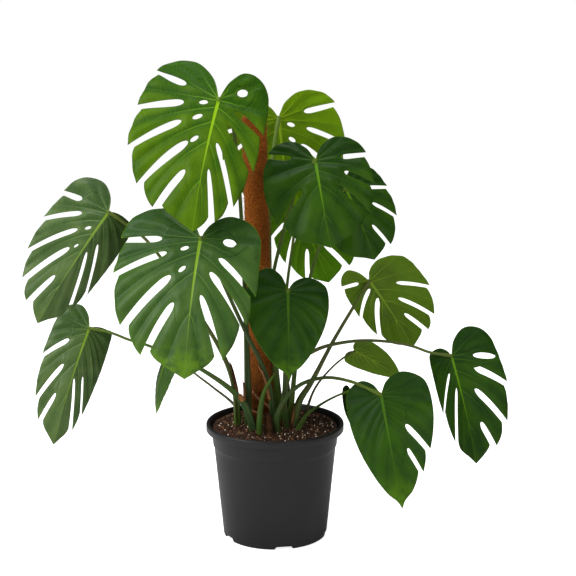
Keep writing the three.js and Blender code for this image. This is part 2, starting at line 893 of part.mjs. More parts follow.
// The middle surface of a blade as triangles, both halves sharing the midrib's points. The first
// column has no area, because its vein lies along the straight edge beside the notch.
function bladeSheet(leaf) {
  const axes = bladeAxes(leaf);
  const corners = [];
  const holes = [leaf.left, leaf.right].some(({ gaps }) => gaps.some(({ hole: cut }) => cut));
  for (const side of ["left", "right"]) {
    const half = new HalfBlade(leaf, side);
    for (let finger = 0; finger < half.q.length - 1; finger++) {
      const whole = leaf.cuts.length === 0 ? WHOLE_COLUMNS : LOBE_COLUMNS;
      const columns = finger === 0 ? whole : FINGER_COLUMNS;
      const firstColumn = finger === 0 ? 1 : 0;
      const nearRows = half.rows(finger, holes);
      const farRows = half.rows(finger + 1, holes);
      const at = (column, row) => {
        const flat = half.point(finger, column / columns, nearRows[row], farRows[row]);
        return placeOnBlade(leaf, axes, side, flat);
      };
      for (let column = firstColumn; column < columns; column++) {
        for (let row = 0; row < nearRows.length - 1; row++) {
          const a = at(column, row);
          const b = at(column + 1, row);
          const c = at(column + 1, row + 1);
          const d = at(column, row + 1);
          corners.push(...(side === "left" ? [a, c, b, a, d, c] : [a, b, c, a, c, d]));
        }
      }
    }
  }
  return { corners, axes };
}

// A closed blade: the sheet moved half the thickness each way, split alike on both faces, with
// a wall along every open edge and the midrib standing out of the underside
function blade(leaf) {
  const { corners, axes } = bladeSheet(leaf);
  const sheet = mergeVertices(new THREE.BufferGeometry().setFromPoints(corners), MERGE_DISTANCE);
  const index = Array.from(sheet.index.array);
  const triangles = [];
  for (let i = 0; i < index.length; i += 3) {
    const triangle = index.slice(i, i + 3);
    if (new Set(triangle).size === 3) triangles.push(triangle);
  }
  sheet.setIndex(triangles.flat());
  sheet.computeVertexNormals();
  const position = sheet.getAttribute("position");
  const normal = sheet.getAttribute("normal");
  const upper = [];
  const under = [];
  for (let i = 0; i < position.count; i++) {
    const middle = new THREE.Vector3().fromBufferAttribute(position, i);
    const out = new THREE.Vector3().fromBufferAttribute(normal, i);
    const onMidrib = Math.abs(middle.clone().sub(axes.origin).dot(axes.across)) < MERGE_DISTANCE;
    upper.push(middle.clone().addScaledVector(out, BLADE_THICKNESS / 2));
    const depth = onMidrib ? MIDRIB_DEPTH : BLADE_THICKNESS / 2;
    under.push(middle.clone().addScaledVector(out, -depth));
  }
  const count = position.count;
  const edges = new Set(triangles.flatMap(([a, b, c]) => [`${a},${b}`, `${b},${c}`, `${c},${a}`]));
  const faces = triangles.flatMap(([a, b, c]) => [a, b, c, c + count, b + count, a + count]);
  for (const edge of edges) {
    const [a, b] = edge.split(",").map(Number);
    if (!edges.has(`${b},${a}`)) faces.push(b, a, a + count, b, a + count, b + count);
  }
  const geometry = new THREE.BufferGeometry().setFromPoints([...upper, ...under]);
  geometry.setIndex(faces);
  return geometry;
}

// A leaf is one solid: its blade, its petiole and the swollen knee where the two meet
function leafGeometry(leaf) {
  const length = new THREE.Vector3(...leaf.base).distanceTo(new THREE.Vector3(...leaf.tip));
  const knee = new THREE.IcosahedronGeometry(KNEE_SWELLING * leaf.petiole.radii[1], 0);
  knee.rotateX(KNEE_TURN).rotateY(KNEE_TURN).translate(...leaf.base);
  const stalk = solid(bentStalk(petioleRoute(leaf), leaf.petiole.radii)).add(solid(knee));
  return geometryOf(solid(blade({ ...leaf, length })).add(stalk));
}

// Soil, with a plain hole for everything that stands in it

function soil(rooted) {
  const foot = POT_FLOOR + CLEARANCE;
  const beside = (z) => innerWall(z) - CLEARANCE;
  let body = solid(turned([
    [0, foot], [beside(foot), foot], [beside(COLLAR_FOOT.z), COLLAR_FOOT.z],
    [beside(COLLAR_STEP.z), COLLAR_STEP.z + CLEARANCE], [beside(RIM_ROOT.z), RIM_ROOT.z],
    [beside(SOIL_EDGE), SOIL_EDGE], [SOIL_SHOULDER.radius, SOIL_SHOULDER.z], [0, SOIL_MIDDLE],
  ], POT_SEGMENTS));
  body = body.subtract(poleHole());
  const grow = CLEARANCE / Math.cos(Math.PI / PETIOLE_SIDES);
  for (const { route, radii } of rooted) {
    body = body.subtract(solid(bentStalk(route, radii, grow)));
  }
  return geometryOf(body);
}

const plant = new THREE.Group();
const pole = placePole(new THREE.Group());
plant.add(pole);
addMesh(plant, "pot", pot(), materials.pot);
addMesh(pole, "pole_stake", closed(stake()), materials.stake);
addMesh(pole, "coir_sleeve", closed(sleeve()), materials.coir);
const others = [youngShoot, oldStem, upperRoot, lowerRoot];
const petioles = leaves.map((leaf) => ({ radii: leaf.petiole.radii, route: petioleRoute(leaf) }));
addMesh(plant, "soil", soil([...petioles, ...others]), materials.soil);
for (const leaf of leaves) {
  const turnedAway = leaf.face[1] > 0;
  addMesh(plant, leaf.name, leafGeometry(leaf), turnedAway ? materials.backLeaf : materials.leaf);
}
for (const { name, route, radii } of others) {
  const material = name === "young_shoot" ? materials.shoot : materials.bark;
  addMesh(plant, name, closed(bentStalk(route, radii)), material);
}

export default plant;
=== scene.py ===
import functools
import math

import bpy
import numpy as np
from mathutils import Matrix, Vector, noise
from mathutils.kdtree import KDTree


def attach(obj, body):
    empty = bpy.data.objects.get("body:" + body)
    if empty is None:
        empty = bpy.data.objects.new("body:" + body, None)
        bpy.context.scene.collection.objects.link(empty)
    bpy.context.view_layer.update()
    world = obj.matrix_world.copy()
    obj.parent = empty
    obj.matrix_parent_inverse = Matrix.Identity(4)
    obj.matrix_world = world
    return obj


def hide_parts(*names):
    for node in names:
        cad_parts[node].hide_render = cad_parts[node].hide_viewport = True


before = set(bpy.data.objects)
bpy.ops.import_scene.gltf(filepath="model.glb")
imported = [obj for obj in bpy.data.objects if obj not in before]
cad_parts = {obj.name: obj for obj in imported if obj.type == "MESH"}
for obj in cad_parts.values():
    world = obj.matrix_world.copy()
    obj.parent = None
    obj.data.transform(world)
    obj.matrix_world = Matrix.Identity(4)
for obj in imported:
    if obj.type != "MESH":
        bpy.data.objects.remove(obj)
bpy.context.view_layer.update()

MM = 0.001

# A half blade's outline from the notch at the petiole to the drip tip. The first number is the
# distance from the midrib over the half width. The second is the place along the midrib over the
# blade's length or, where negative, over the back lobe's length.
MONSTERA = [
    (0, 0), (0.13, -0.6), (0.4, -1), (0.72, -0.86), (0.93, -0.32), (1, 0.16),
    (0.985, 0.42), (0.83, 0.68), (0.56, 0.875), (0.22, 0.972), (0, 1.04),
]
HEART = [
    (0, 0), (0.16, -0.66), (0.46, -1), (0.78, -0.72), (0.97, -0.1), (0.99, 0.22),
    (0.86, 0.47), (0.6, 0.72), (0.32, 0.9), (0.1, 0.985), (0, 1.06),
]

# Where the side veins leave the midrib: a vein's share of the way round the half blade, and its
# start's share of the midrib.
VEIN_STARTS = [
    (0, 0), (0.36, 0), (0.5, 0.035), (0.62, 0.11), (0.74, 0.22), (0.84, 0.36), (0.93, 0.6), (1, 1),
]
VEIN_BEND = 0.24
VEIN_BEND_BACK = 0.5
VEIN_SPACING = 0.12
FIRST_VEIN = 0.75
LAST_VEIN_MARGIN = 0.25

# Blade form
SLIT_ROUND = 0.22
SLIT_MOUTH = 0.35
FINGER_ROUNDING = 0.06
FINGER_HOOK = 0.015
LOBE_DROOP = 1.6
EDGE_WAVE = 0.02
WAVE_COUNT = 3.3
WAVE_PHASE = {"left": 0.17, "right": 0.6}
SHARE_STEP = 0.004
FULL_THICKNESS = 0.8
EDGE_THICKNESS = 0.34
EDGE_TAPER = 5
PUFF_HEIGHT = 4.4
PUFF_SPREAD = 11
RIB_VALLEY = 32
GROOVE_DEPTH = 0.7
GAP_FADE = 2.6
GROOVE_WIDTH = 1.5
RIB_FOOT_WIDTH = 3.6
RIB_TIP_WIDTH = 0.5
RIB_TAPER = 1.2
RIB_DEPTH = 0.8
RIB_HOLLOW = 0.7
HOLLOW_FADE = (0.3, 0.8, 0.85)
BESIDE_RIB = (0.9, 3.5)
SIDE_RIB_HEIGHT = 0.8
SIDE_RIB_WIDTH = 1.1
SIDE_RIB_START = 0.06
SIDE_RIB_FADE = 0.8
USUAL_TIP_RADIUS = 3.2
EDGE_RIPPLE = 0.012
RIPPLE_COUNT = 4.3
RIPPLE_PHASE = 0.2
BLADE_VALUES = ("vein_gap", "vein_run", "reach", "rib", "along", "edge_gap")

# How finely a blade is drawn
MARGIN_STEPS = 24
COLUMN_SPACING = 0.016
VEIN_COLUMNS = np.array([-0.006, -0.002, 0, 0.002, 0.006])
CLEAR_OF_VEIN = 1.4 * VEIN_COLUMNS[-1]
EDGE_COLUMN = 0.02
RIB_ROWS = np.array([0, 0.35, 0.7, 1, 1.5, 2.4])
PLAIN_ROWS = np.array([0.25, 0.5, 0.75, 1])
BRIDGE_ROWS = np.array([0.2, 0.4, 0.6, 0.8, 1])
HOLE_STEPS = 9
SLIT_ROWS = np.array([
    0.004, 0.015, 0.035, 0.065, 0.1, 0.15, 0.21, 0.29, 0.38, 0.48, 0.58, 0.68, 0.78, 0.88, 0.95, 1,
])
RIB_ROWS_LIMIT = 0.7
# Where a slit and a hole would be on a side that has none, so that the rows can be spaced alike: the
# slit's start, and the hole's ends as shares of the way from PLAIN_START to it.
PLAIN_START = 0.05
PLAIN_SLIT = 0.5
PLAIN_HOLE = (0.35, 0.7)

# Stalks
ROOT_DEPTH = 24
STALK_STEP = 4
STALK_SIDES = 20
STALK_TAPER = 2.6
SHEATH_FADE = (0.1, 0.5)
STALK_GROOVE_WIDTH = 0.42
STALK_GROOVE_DEPTHS = (0.12, 0.3)
WING_ANGLE = 0.85
WING_WIDTH = 0.3
WING_HEIGHT = 0.3
POINT_RADIUS = 0.02
CURVE_STEPS = 40
KNEE_START = 0.9
KNEE_LENGTH = 24
KNEE_FADE = 8
KNEE_SWELLING = 0.3

# Gaps lie between two side veins. Starts and ends are shares of the way out from the midrib, and a
# shift moves a gap's outer end along the edge.
UNCUT = {"slit": None, "hole": None, "shift": 0}


def slit(start, half_width, mouth=0.9, shift=0, hole=None):
    """A gap open at the edge, where it is mouth times as wide, with maybe a hole further in."""
    return {"slit": (start, half_width, mouth), "hole": hole, "shift": shift}


def hole(start, end, half_width, shift=0):
    return {"slit": None, "hole": (start, end, half_width), "shift": shift}


def half(width, lobe, fold, curl, *gaps):
    """Half a blade: its width, its back lobe's length, the angle of its fold and its curl."""
    return {"width": width, "lobe": lobe, "fold": fold, "curl": curl, "gaps": list(gaps)}


# The radii are those of the stalk's foot and top. Base and tip are the midrib's ends, and the upper
# side faces the way of face. Cuts are where the gaps are, as shares of the way round each half blade.
# The route is the stalk's way from the soil to the base.
LEAVES = [
    dict(
        where="top_left", look="bright", stalk="dark", outline=MONSTERA, arch=0.05,
        radii=(7.5, 3.2), base=(-94, -90, 814), tip=(-136, -165, 606), face=(-0.28, -1, 0.2),
        cuts=[0.33, 0.475, 0.63, 0.78, 0.88],
        left=half(143, 62, -2, 0.04, slit(0.52, 6, 0.5, shift=-0.01),
            slit(0.42, 7, 0.7, shift=-0.015, hole=(0.12, 0.23, 4)),
            slit(0.4, 7, 0.8, shift=-0.02, hole=(0.15, 0.27, 4.5)),
            slit(0.32, 8, 0.6, shift=-0.035, hole=(0.17, 0.29, 4.5)), slit(0.42, 7, shift=-0.03)),
        right=half(87, 54, 10, 0.1, hole(0.4, 0.62, 7, shift=-0.06), slit(0.37, 6, 0.8, shift=0.015),
            slit(0.3, 6, 0.8, shift=0.02), slit(0.24, 6, 0.8, shift=0.03), slit(0.32, 6, shift=0.03)),
        route=[(-50, -6, 203), (-52, -26, 413), (-56, -42, 544), (-60, -52, 635), (-66, -62, 724),
            (-77, -80, 792)]),
    dict(
        where="middle_left", look="bluish_sheen", stalk="dark", outline=MONSTERA, arch=0.05,
        radii=(6.5, 3.2), base=(-125, -140, 582), tip=(-149, -225, 366), face=(-0.25, -1, 0.25),
        cuts=[0.385, 0.54, 0.7, 0.835],
        left=half(146, 50, 0, 0.05, slit(0.48, 6, 0.8, shift=0.01),
            slit(0.38, 6, shift=-0.02, hole=(0.12, 0.22, 3.5)),
            slit(0.35, 8, shift=0.01, hole=(0.15, 0.25, 4)), slit(0.4, 7)),
        right=half(105, 42, 8, 0.1, hole(0.38, 0.6, 7, shift=-0.03), slit(0.35, 6, 0.8, shift=0.02),
            slit(0.27, 7, shift=-0.02), slit(0.25, 7, shift=0.01)),
        route=[(-2, -26, 203), (-9, -34, 284), (-23, -45, 334), (-49, -62, 394), (-87, -108, 494),
            (-110, -130, 555)]),
    dict(
        where="outer_left_upper", look="grey_sheen", stalk="olive", outline=MONSTERA, arch=0.06,
        radii=(7, 2.7), base=(-296, -20, 609), tip=(-411, -100, 432), face=(-0.15, -1, 0.15),
        cuts=[0.36, 0.51, 0.67, 0.8, 0.9],
        left=half(90, 42, -4, 0.05, slit(0.6, 6, 0.8), slit(0.42, 6),
            slit(0.34, 6, hole=(0.12, 0.22, 3.5)), slit(0.34, 7, hole=(0.18, 0.26, 3)),
            slit(0.47, 6)),
        right=half(58, 9, 32, 0.1, UNCUT, UNCUT, slit(0.35, 5), slit(0.22, 6)),
        route=[(-70, -6, 203), (-74, -5, 275), (-92, -6, 336), (-154, -12, 447), (-231, -14, 558),
            (-264, -16, 585)]),
    dict(
        where="outer_left_lower", look="grey_sheen", stalk="dark", outline=MONSTERA, arch=0.06,
        radii=(9, 2.4), base=(-344, 30, 385), tip=(-407, -20, 184), face=(-0.15, -1, 0.1),
        cuts=[0.55, 0.74, 0.86],
        left=half(66, 36, -4, 0.05, slit(0.42, 6, shift=-0.04), slit(0.42, 7), slit(0.56, 6)),
        right=half(47, 7, 28, 0.1, UNCUT, slit(0.5, 4), slit(0.15, 6)),
        route=[(-38, -42, 203), (-60, -36, 264), (-141, -12, 321), (-232, 10, 356), (-269, 16, 366),
            (-305, 24, 378)]),
    dict(
        where="front_heart", look="glossy", stalk="dark", outline=HEART, arch=0.05,
        radii=(6, 3), base=(24, -95, 482), tip=(26, -150, 345), face=(0.03, -1, 0.28),
        cuts=[],
        left=half(75, 42, 5, 0.08),
        right=half(73, 24, 8, 0.1),
        route=[(22, -30, 203), (18, -38, 257), (19, -54, 336), (21, -72, 405), (22, -84, 446)]),
    dict(
        where="right_heart", look="glossy", stalk="dark", outline=HEART, arch=0.05,
        radii=(7.5, 2.8), base=(189, -100, 294), tip=(224, -150, 111), face=(-0.1, -1, 0.25),
        cuts=[0.67, 0.79],
        left=half(66, 30, 8, 0.12),
        right=half(86, 34, 4, 0.08, slit(0.5, 6), slit(0.62, 5)),
        route=[(6, -52, 203), (5, -56, 238), (20, -64, 276), (47, -72, 305), (92, -84, 321),
            (134, -90, 316), (160, -96, 307)]),
    dict(
        where="outer_right", look="deep", stalk="olive", outline=MONSTERA, arch=0.06,
        radii=(7, 2.5), base=(328, 30, 332), tip=(372, -15, 145), face=(0.15, -1, 0.1),
        cuts=[0.4, 0.56, 0.75, 0.88],
        left=half(46, 18, 36, 0.12, UNCUT, slit(0.3, 4, shift=0.04), slit(0.22, 6, shift=0.06)),
        right=half(88, 46, -4, 0.06, hole(0.45, 0.92, 6, shift=0.02), slit(0.4, 7), slit(0.37, 7),
            slit(0.58, 6)),
        route=[(18, -8, 203), (16, -8, 258), (34, -5, 320), (76, 0, 351), (141, 8, 365),
            (205, 16, 363), (252, 22, 353), (289, 27, 339)]),
    dict(
        where="right_turned", look="pale", stalk="olive", outline=MONSTERA, arch=0.05,
        radii=(8.5, 3), base=(178, 100, 460), tip=(264, 150, 325), face=(0.0, 1, 0.3),
        cuts=[0.3, 0.57, 0.76, 0.87],
        left=half(93, 36, 4, 0.06, UNCUT, slit(0.45, 5), slit(0.4, 5), slit(0.5, 5)),
        right=half(54, 44, 6, 0.1, slit(0.4, 4), slit(0.15, 5), slit(0.12, 7)),
        route=[(36, -10, 203), (45, 3, 250), (67, 16, 284), (108, 50, 354), (150, 82, 418)]),
    dict(
        where="top_back", look="sunny", stalk="light", outline=MONSTERA, arch=0.05,
        radii=(7, 3.4), base=(7, 100, 767), tip=(30, 185, 569), face=(-0.05, 1, 0.3),
        cuts=[0.38, 0.53, 0.7, 0.86],
        left=half(116, 54, 5, 0.06, slit(0.45, 6, 0.8, shift=-0.05),
            slit(0.42, 6, hole=(0.12, 0.24, 5)), slit(0.36, 6, hole=(0.14, 0.26, 5)), slit(0.4, 5)),
        right=half(112, 46, 6, 0.08, slit(0.5, 5), slit(0.5, 5), slit(0.4, 6), slit(0.4, 6)),
        route=[(2, 54, 203), (-6, 66, 354), (-10, 74, 494), (-9, 77, 634), (0, 92, 728)]),
    dict(
        where="top_right", look="deep", outline=MONSTERA, arch=0.06,
        radii=(6.5, 3), base=(72, -50, 705), tip=(97, -115, 567), face=(-0.1, -1, 0.25),
        cuts=[0.38, 0.56, 0.72, 0.88],
        left=half(98, 45, 2, 0.06, slit(0.5, 5, shift=-0.06), UNCUT, slit(0.4, 5)),
        right=half(95, 40, 14, 0.12, slit(0.5, 5), slit(0.5, 5), slit(0.4, 5)),
        route=[(12, 20, 203), (-2, 4, 369), (-5, -8, 474), (8, -16, 543), (24, -28, 605),
            (45, -42, 667)]),
    dict(
        where="back_lower", look="shaded", outline=MONSTERA, arch=0.05,
        radii=(6, 2.6), base=(45, 110, 594), tip=(101, 165, 450), face=(-0.1, 1, 0.3),
        cuts=[0.46, 0.68, 0.86],
        left=half(95, 40, 6, 0.08, slit(0.5, 5), slit(0.4, 5), slit(0.4, 6)),
        right=half(68, 36, 6, 0.08, slit(0.5, 5), slit(0.4, 6), slit(0.4, 6)),
        route=[(32, 34, 203), (16, 52, 338), (22, 70, 453), (32, 86, 526), (37, 98, 560)]),
    dict(
        where="small_right", look="pale", stalk="brown", outline=HEART, arch=0.05,
        radii=(4, 1.8), base=(151, 90, 326), tip=(239, 120, 266), face=(-0.25, 1, 0.5),
        cuts=[],
        left=half(38, 14, 8, 0.1),
        right=half(28, 12, 8, 0.1),
        route=[(52, -4, 203), (73, 34, 265), (108, 62, 302), (138, 82, 321)]),
    dict(
        where="right_upper", look="deep", outline=MONSTERA, arch=0.06,
        radii=(6, 2.8), base=(129, 30, 645), tip=(178, -15, 527), face=(0.25, -1, 0.25),
        cuts=[0.46, 0.66, 0.86],
        left=half(72, 34, 8, 0.1, slit(0.5, 4), slit(0.5, 4)),
        right=half(80, 36, 8, 0.1, slit(0.5, 4), slit(0.5, 4), slit(0.5, 4)),
        route=[(28, 17, 203), (46, 17, 384), (68, 20, 496), (106, 26, 603)]),
    dict(
        where="small_left", look="bluish_sheen", stalk="brown", outline=HEART, arch=0.08,
        radii=(3.6, 1.9), base=(-196, 90, 333), tip=(-228, 85, 207), face=(-0.8, -0.5, 0.3),
        cuts=[],
        left=half(30, 12, 10, 0.15),
        right=half(34, 12, 10, 0.15),
        route=[(-60, 10, 203), (-74, 30, 234), (-120, 50, 268), (-159, 66, 295)]),
    dict(
        where="small_back", look="deep", outline=HEART, arch=0.08,
        radii=(6.5, 2.0), base=(143, 70, 254), tip=(152, 60, 179), face=(-0.5, -1, 0.2),
        cuts=[],
        left=half(20, 10, 10, 0.1),
        right=half(20, 10, 10, 0.1),
        route=[(38, -44, 203), (57, -20, 231), (83, 12, 242), (114, 44, 250)]),
]


# Small helpers for numbers and curves

def lerp(a, b, f):
    return a + (b - a) * f


def smooth(low, high, x):
    f = np.clip((x - low) / (high - low), 0, 1)
    return f * f * (3 - 2 * f)


def bell(x, width):
    return np.exp(-((x / width) ** 2))


def knots(table, x):
    keys, values = zip(*table)
    return np.interp(x, keys, values)


def unit(vectors):
    length = np.linalg.norm(vectors, axis=-1, keepdims=True)
    return vectors / np.maximum(length, 1e-9)


def running_length(points):
    return np.concatenate([[0], np.cumsum(np.linalg.norm(np.diff(points, axis=0), axis=1))])


def run_shares(points):
    run = running_length(points)
    return run / run[-1]


def around(count):
    """The cosine and sine of each of count even steps round a circle."""
    angles = 2 * np.pi * np.arange(count) / count
    return list(zip(np.cos(angles), np.sin(angles)))


def with_ends(points):
    p = np.array(points, float)
    return np.vstack([2 * p[0] - p[1], p, 2 * p[-1] - p[-2]])


def uniform_curve(points, steps):
    """Points along a uniform Catmull-Rom curve."""
    p = with_ends(points)
    t = np.linspace(0, 1, steps, endpoint=False)[:, None]
    spans = [
        0.5 * (2 * b + (c - a) * t + (2 * a - 5 * b + 4 * c - d) * t ** 2
               + (3 * b - a - 3 * c + d) * t ** 3)
        for a, b, c, d in zip(p, p[1:], p[2:], p[3:])
    ]
    return np.vstack(spans + [p[-2:-1]])


def centripetal_curve(points, steps):
    """Points along a centripetal Catmull-Rom curve."""
    p = with_ends(points)
    t = np.linspace(0, 1, steps, endpoint=False)[:, None]
    spans = []
    for a, b, c, d in zip(p, p[1:], p[2:], p[3:]):
        before, here, after = (math.sqrt(np.linalg.norm(e)) for e in (b - a, c - b, d - c))
        leave = ((b - a) / before - (c - a) / (before + here) + (c - b) / here) * here
        arrive = ((c - b) / here - (d - b) / (here + after) + (d - c) / after) * here
        spans.append(b + leave * t + (3 * (c - b) - 2 * leave - arrive) * t ** 2
                     + (2 * (b - c) + leave + arrive) * t ** 3)
    return np.vstack(spans + [p[-2:-1]])


def even_steps(curve, step):
    """The curve again, with its points evenly spaced."""
    run = running_length(curve)
    places = np.linspace(0, run[-1], max(8, round(run[-1] / step)) + 1)
    return np.stack([np.interp(places, run, curve[:, k]) for k in range(3)], -1)


# Making pieces

def grid_faces(columns, rows, turned=False, closed=False):
    """Quads of a grid whose points run row by row within each column."""
    faces = []
    for c in range(columns if closed else columns - 1):
        for r in range(rows - 1):
            a, b = c * rows + r, (c + 1) % columns * rows + r
            face = (a, b, b + 1, a + 1)
            faces.append(face[::-1] if turned else face)
    return faces


def put_in_scene(name, data):
    made = bpy.data.objects.new(name, data)
    bpy.context.scene.collection.objects.link(made)
    return made


class Piece:
    """Vertices, faces and point values gathered for one mesh."""

    def __init__(self):
        self.points = []
        self.values = {}
        self.faces = []
        self.slots = []
        self.smooth = []
        self.count = 0

    def add(self, points, faces, flat_faces=(), slot=0, **values):
        """Add points with their values, and the faces between them, shaded smooth or flat."""
        points = np.asarray(points, float).reshape(-1, 3)
        for name in {**self.values, **values}:
            earlier = self.values.setdefault(name, [np.zeros(self.count)] if self.count else [])
            earlier.append(np.asarray(values.get(name, np.zeros(len(points))), float).reshape(-1))
        every = [*faces, *flat_faces]
        self.points.append(points)
        self.faces += [tuple(int(v) + self.count for v in face) for face in every]
        self.slots += [slot] * len(every)
        self.smooth += [True] * len(faces) + [False] * len(flat_faces)
        self.count += len(points)

    def add_tube(self, columns, slot=0, **values):
        """A closed body, whose columns of points stand side by side round it between two end faces."""
        count, rows = len(columns), len(columns[0])
        foot = tuple(c * rows for c in range(count))[::-1]
        top = tuple(c * rows + rows - 1 for c in range(count))
        self.add(columns, [*grid_faces(count, rows, closed=True), foot, top], slot=slot, **values)

    def finish(self, name, materials):
        mesh = bpy.data.meshes.new(name)
        mesh.from_pydata(np.vstack(self.points) * MM, [], self.faces)
        for material in materials:
            mesh.materials.append(material)
        mesh.polygons.foreach_set("material_index", self.slots)
        mesh.polygons.foreach_set("use_smooth", self.smooth)
        for key, parts in self.values.items():
            attribute = mesh.attributes.new(key, "FLOAT", "POINT")
            attribute.data.foreach_set("value", np.concatenate(parts).astype(np.float32))
        mesh.update()
        return put_in_scene(name, mesh)


def apply_modifiers(made):
    """Give an object the plain mesh that its modifiers make."""
    graph = bpy.context.evaluated_depsgraph_get()
    mesh = bpy.data.meshes.new_from_object(made.evaluated_get(graph))
    made.modifiers.clear()
    made.data = mesh
    return mesh


def declare(piece, slot, *nodes):
    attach(piece, "root")
    if nodes:
        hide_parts(*nodes)


# Leaf blades

class HalfBlade:
    """Half a blade, flat, where u is the distance from the midrib and v the place along it. A share q
    goes round the half from the notch at the petiole to the tip, and a share t out from the midrib."""

    def __init__(self, leaf, side):
        given, cuts = leaf[side], leaf["cuts"]
        self.width, self.length = given["width"], leaf["length"]
        outline = [
            (u * self.width, v * (self.length if v > 0 else given["lobe"])) for u, v in leaf["outline"]]
        self.margin = uniform_curve(outline, MARGIN_STEPS)
        self.margin_share = run_shares(self.margin)
        self.gaps = [UNCUT, *(given["gaps"] + [UNCUT] * len(cuts))[:len(cuts)], UNCUT]
        self.q = [0, *cuts, 1]
        self.edge_q = [q + cut["shift"] for q, cut in zip(self.q, self.gaps)]

    def vein(self, q, t):
        """A side vein, which bends towards the tip on its way out."""
        start = knots(VEIN_STARTS, q) * self.length
        share = np.interp(q, self.q, self.edge_q)
        end_u, end_v = (np.interp(share, self.margin_share, values) for values in self.margin.T)
        bend = lerp(start, end_v, np.where(end_v > start, VEIN_BEND, VEIN_BEND_BACK))
        v = (1 - t) ** 2 * start + 2 * (1 - t) * t * bend + t * t * end_v
        return np.stack([t * end_u, v], -1)

    def across(self, q, t):
        """The direction from vein to vein at t."""
        return unit(self.vein(min(1, q + SHARE_STEP), t) - self.vein(max(0, q - SHARE_STEP), t))

    def gap_width(self, index, t):
        """Half the width of a gap, round at a slit's inner end and at both ends of a hole."""
        width = np.zeros_like(t)
        cut = self.gaps[index]
        if cut["hole"]:
            start, end, half_width = cut["hole"]
            f = np.clip((t - start) / (end - start), 0, 1)
            width += half_width * np.sqrt(np.clip(1 - (2 * f - 1) ** 2, 0, 1))
        if cut["slit"]:
            start, half_width, mouth = cut["slit"]
            f = np.clip((t - start) / (1 - start), 0, 1)
            inner = np.minimum(1, f / SLIT_ROUND)
            narrowing = lerp(1, mouth, smooth(SLIT_MOUTH, 1, f))
            width += half_width * np.sqrt(1 - (1 - inner) ** 2) * narrowing
        return width

    def reach(self, finger, f, t):
        """A finger between two slits is rounded at its near corner and drawn out at its far one."""
        for index, share, amount in (
            (finger, 1 - f, -FINGER_ROUNDING), (finger + 1, f, FINGER_HOOK),
        ):
            open_gap = self.gaps[index]["slit"]
            if open_gap:
                beyond = np.clip((t - open_gap[0]) / (1 - open_gap[0]), 0, 1)
                t = t + amount * share ** 3 * beyond ** 2
        return t

    def rows(self, index, rib_share):
        """The shares t at which a boundary between two fingers has its rows."""
        inner, outer = self.gaps[index]["hole"], self.gaps[index]["slit"]
        start = outer[0] if outer else ((inner[1] + 1) / 2 if inner else PLAIN_SLIT)
        near, far = inner[:2] if inner else (lerp(PLAIN_START, start, share) for share in PLAIN_HOLE)
        rib_end = min(rib_share * RIB_ROWS[-1], RIB_ROWS_LIMIT * near)
        turn = (1 - np.cos(np.pi * np.arange(1, HOLE_STEPS + 1) / HOLE_STEPS)) / 2
        return np.concatenate([
            RIB_ROWS / RIB_ROWS[-1] * rib_end, lerp(rib_end, near, PLAIN_ROWS), lerp(near, far, turn),
            lerp(far, start, BRIDGE_ROWS), lerp(start, 1, SLIT_ROWS),
        ])

    def main_veins(self, finger):
        """The shares across a finger at which it has a main vein: one in its middle, more in a lobe."""
        if finger > 0:
            return [0.5]
        count = max(2, round(self.q[1] / VEIN_SPACING))
        return [(k + FIRST_VEIN) / (count - 1 + FIRST_VEIN + LAST_VEIN_MARGIN) for k in range(count)]

    def columns(self, finger):
        """Shares across a finger, closer together beside its main veins and its edges."""
        span = self.q[finger + 1] - self.q[finger]
        veins = self.main_veins(finger)
        close = np.concatenate([vein + VEIN_COLUMNS / span for vein in veins])
        even = np.linspace(0, 1, max(6, round(span / COLUMN_SPACING)) + 1)
        clear = np.abs(even[:, None] - np.array(veins)[None]).min(1) > CLEAR_OF_VEIN / span
        sides = [EDGE_COLUMN, 1 - EDGE_COLUMN]
        return np.unique(np.concatenate([even[clear], close, sides]).round(5)), veins

    def finger_grid(self, finger, near_rows, far_rows):
        """The flat points of a finger, column by column, with their q and t."""
        shares, veins = self.columns(finger)
        f = shares[:, None]
        t = lerp(near_rows, far_rows, f)
        q = lerp(self.q[finger], self.q[finger + 1], f) + 0 * t
        place = self.vein(q, self.reach(finger, f, t))
        near = (self.gap_width(finger, near_rows) * (1 - f) ** GAP_FADE)[..., None]
        far = (self.gap_width(finger + 1, far_rows) * f ** GAP_FADE)[..., None]
        place = place + near * self.across(self.q[finger], near_rows)
        place = place - far * self.across(self.q[finger + 1], far_rows)
        return place, q, t, shares, veins


def blade_axes(leaf):
    origin = np.array(leaf["base"], float)
    along = unit(np.array(leaf["tip"], float) - origin)
    face = np.array(leaf["face"], float)
    face = unit(face - along * (face @ along))
    return origin, along, face, np.cross(face, along)


def place_on_blade(leaf, side, flat, q, t):
    """Bend the flat half into place: arched along the midrib, folded at it, curled down, waved."""
    origin, along, face, across = blade_axes(leaf)
    given = leaf[side]
    width = given["width"]
    sign = -1 if side == "left" else 1
    u, v = flat[..., 0:1], flat[..., 1:2]
    f = v / leaf["length"]
    arch = leaf["arch"] * leaf["length"] * np.where(f > 0, 4 * f * (1 - f), LOBE_DROOP * f)
    turns = WAVE_COUNT * q + WAVE_PHASE[side]
    fine_turns = RIPPLE_COUNT * turns + RIPPLE_PHASE
    ripple = EDGE_WAVE * t * t * np.sin(np.pi * q) * np.sin(2 * np.pi * turns)
    fine = EDGE_RIPPLE * t ** 4 * np.sin(np.pi * q) * np.sin(2 * np.pi * fine_turns)
    rise = arch - given["curl"] * width * (u / width) ** 2 + width * (ripple + fine)[..., None]
    angle = math.radians(given["fold"])
    return (origin + across * sign * u * math.cos(angle) + along * v
            + face * (rise - u * math.sin(angle)))


def rib_foot_width(leaf):
    return RIB_FOOT_WIDTH * leaf["radii"][1] / USUAL_TIP_RADIUS


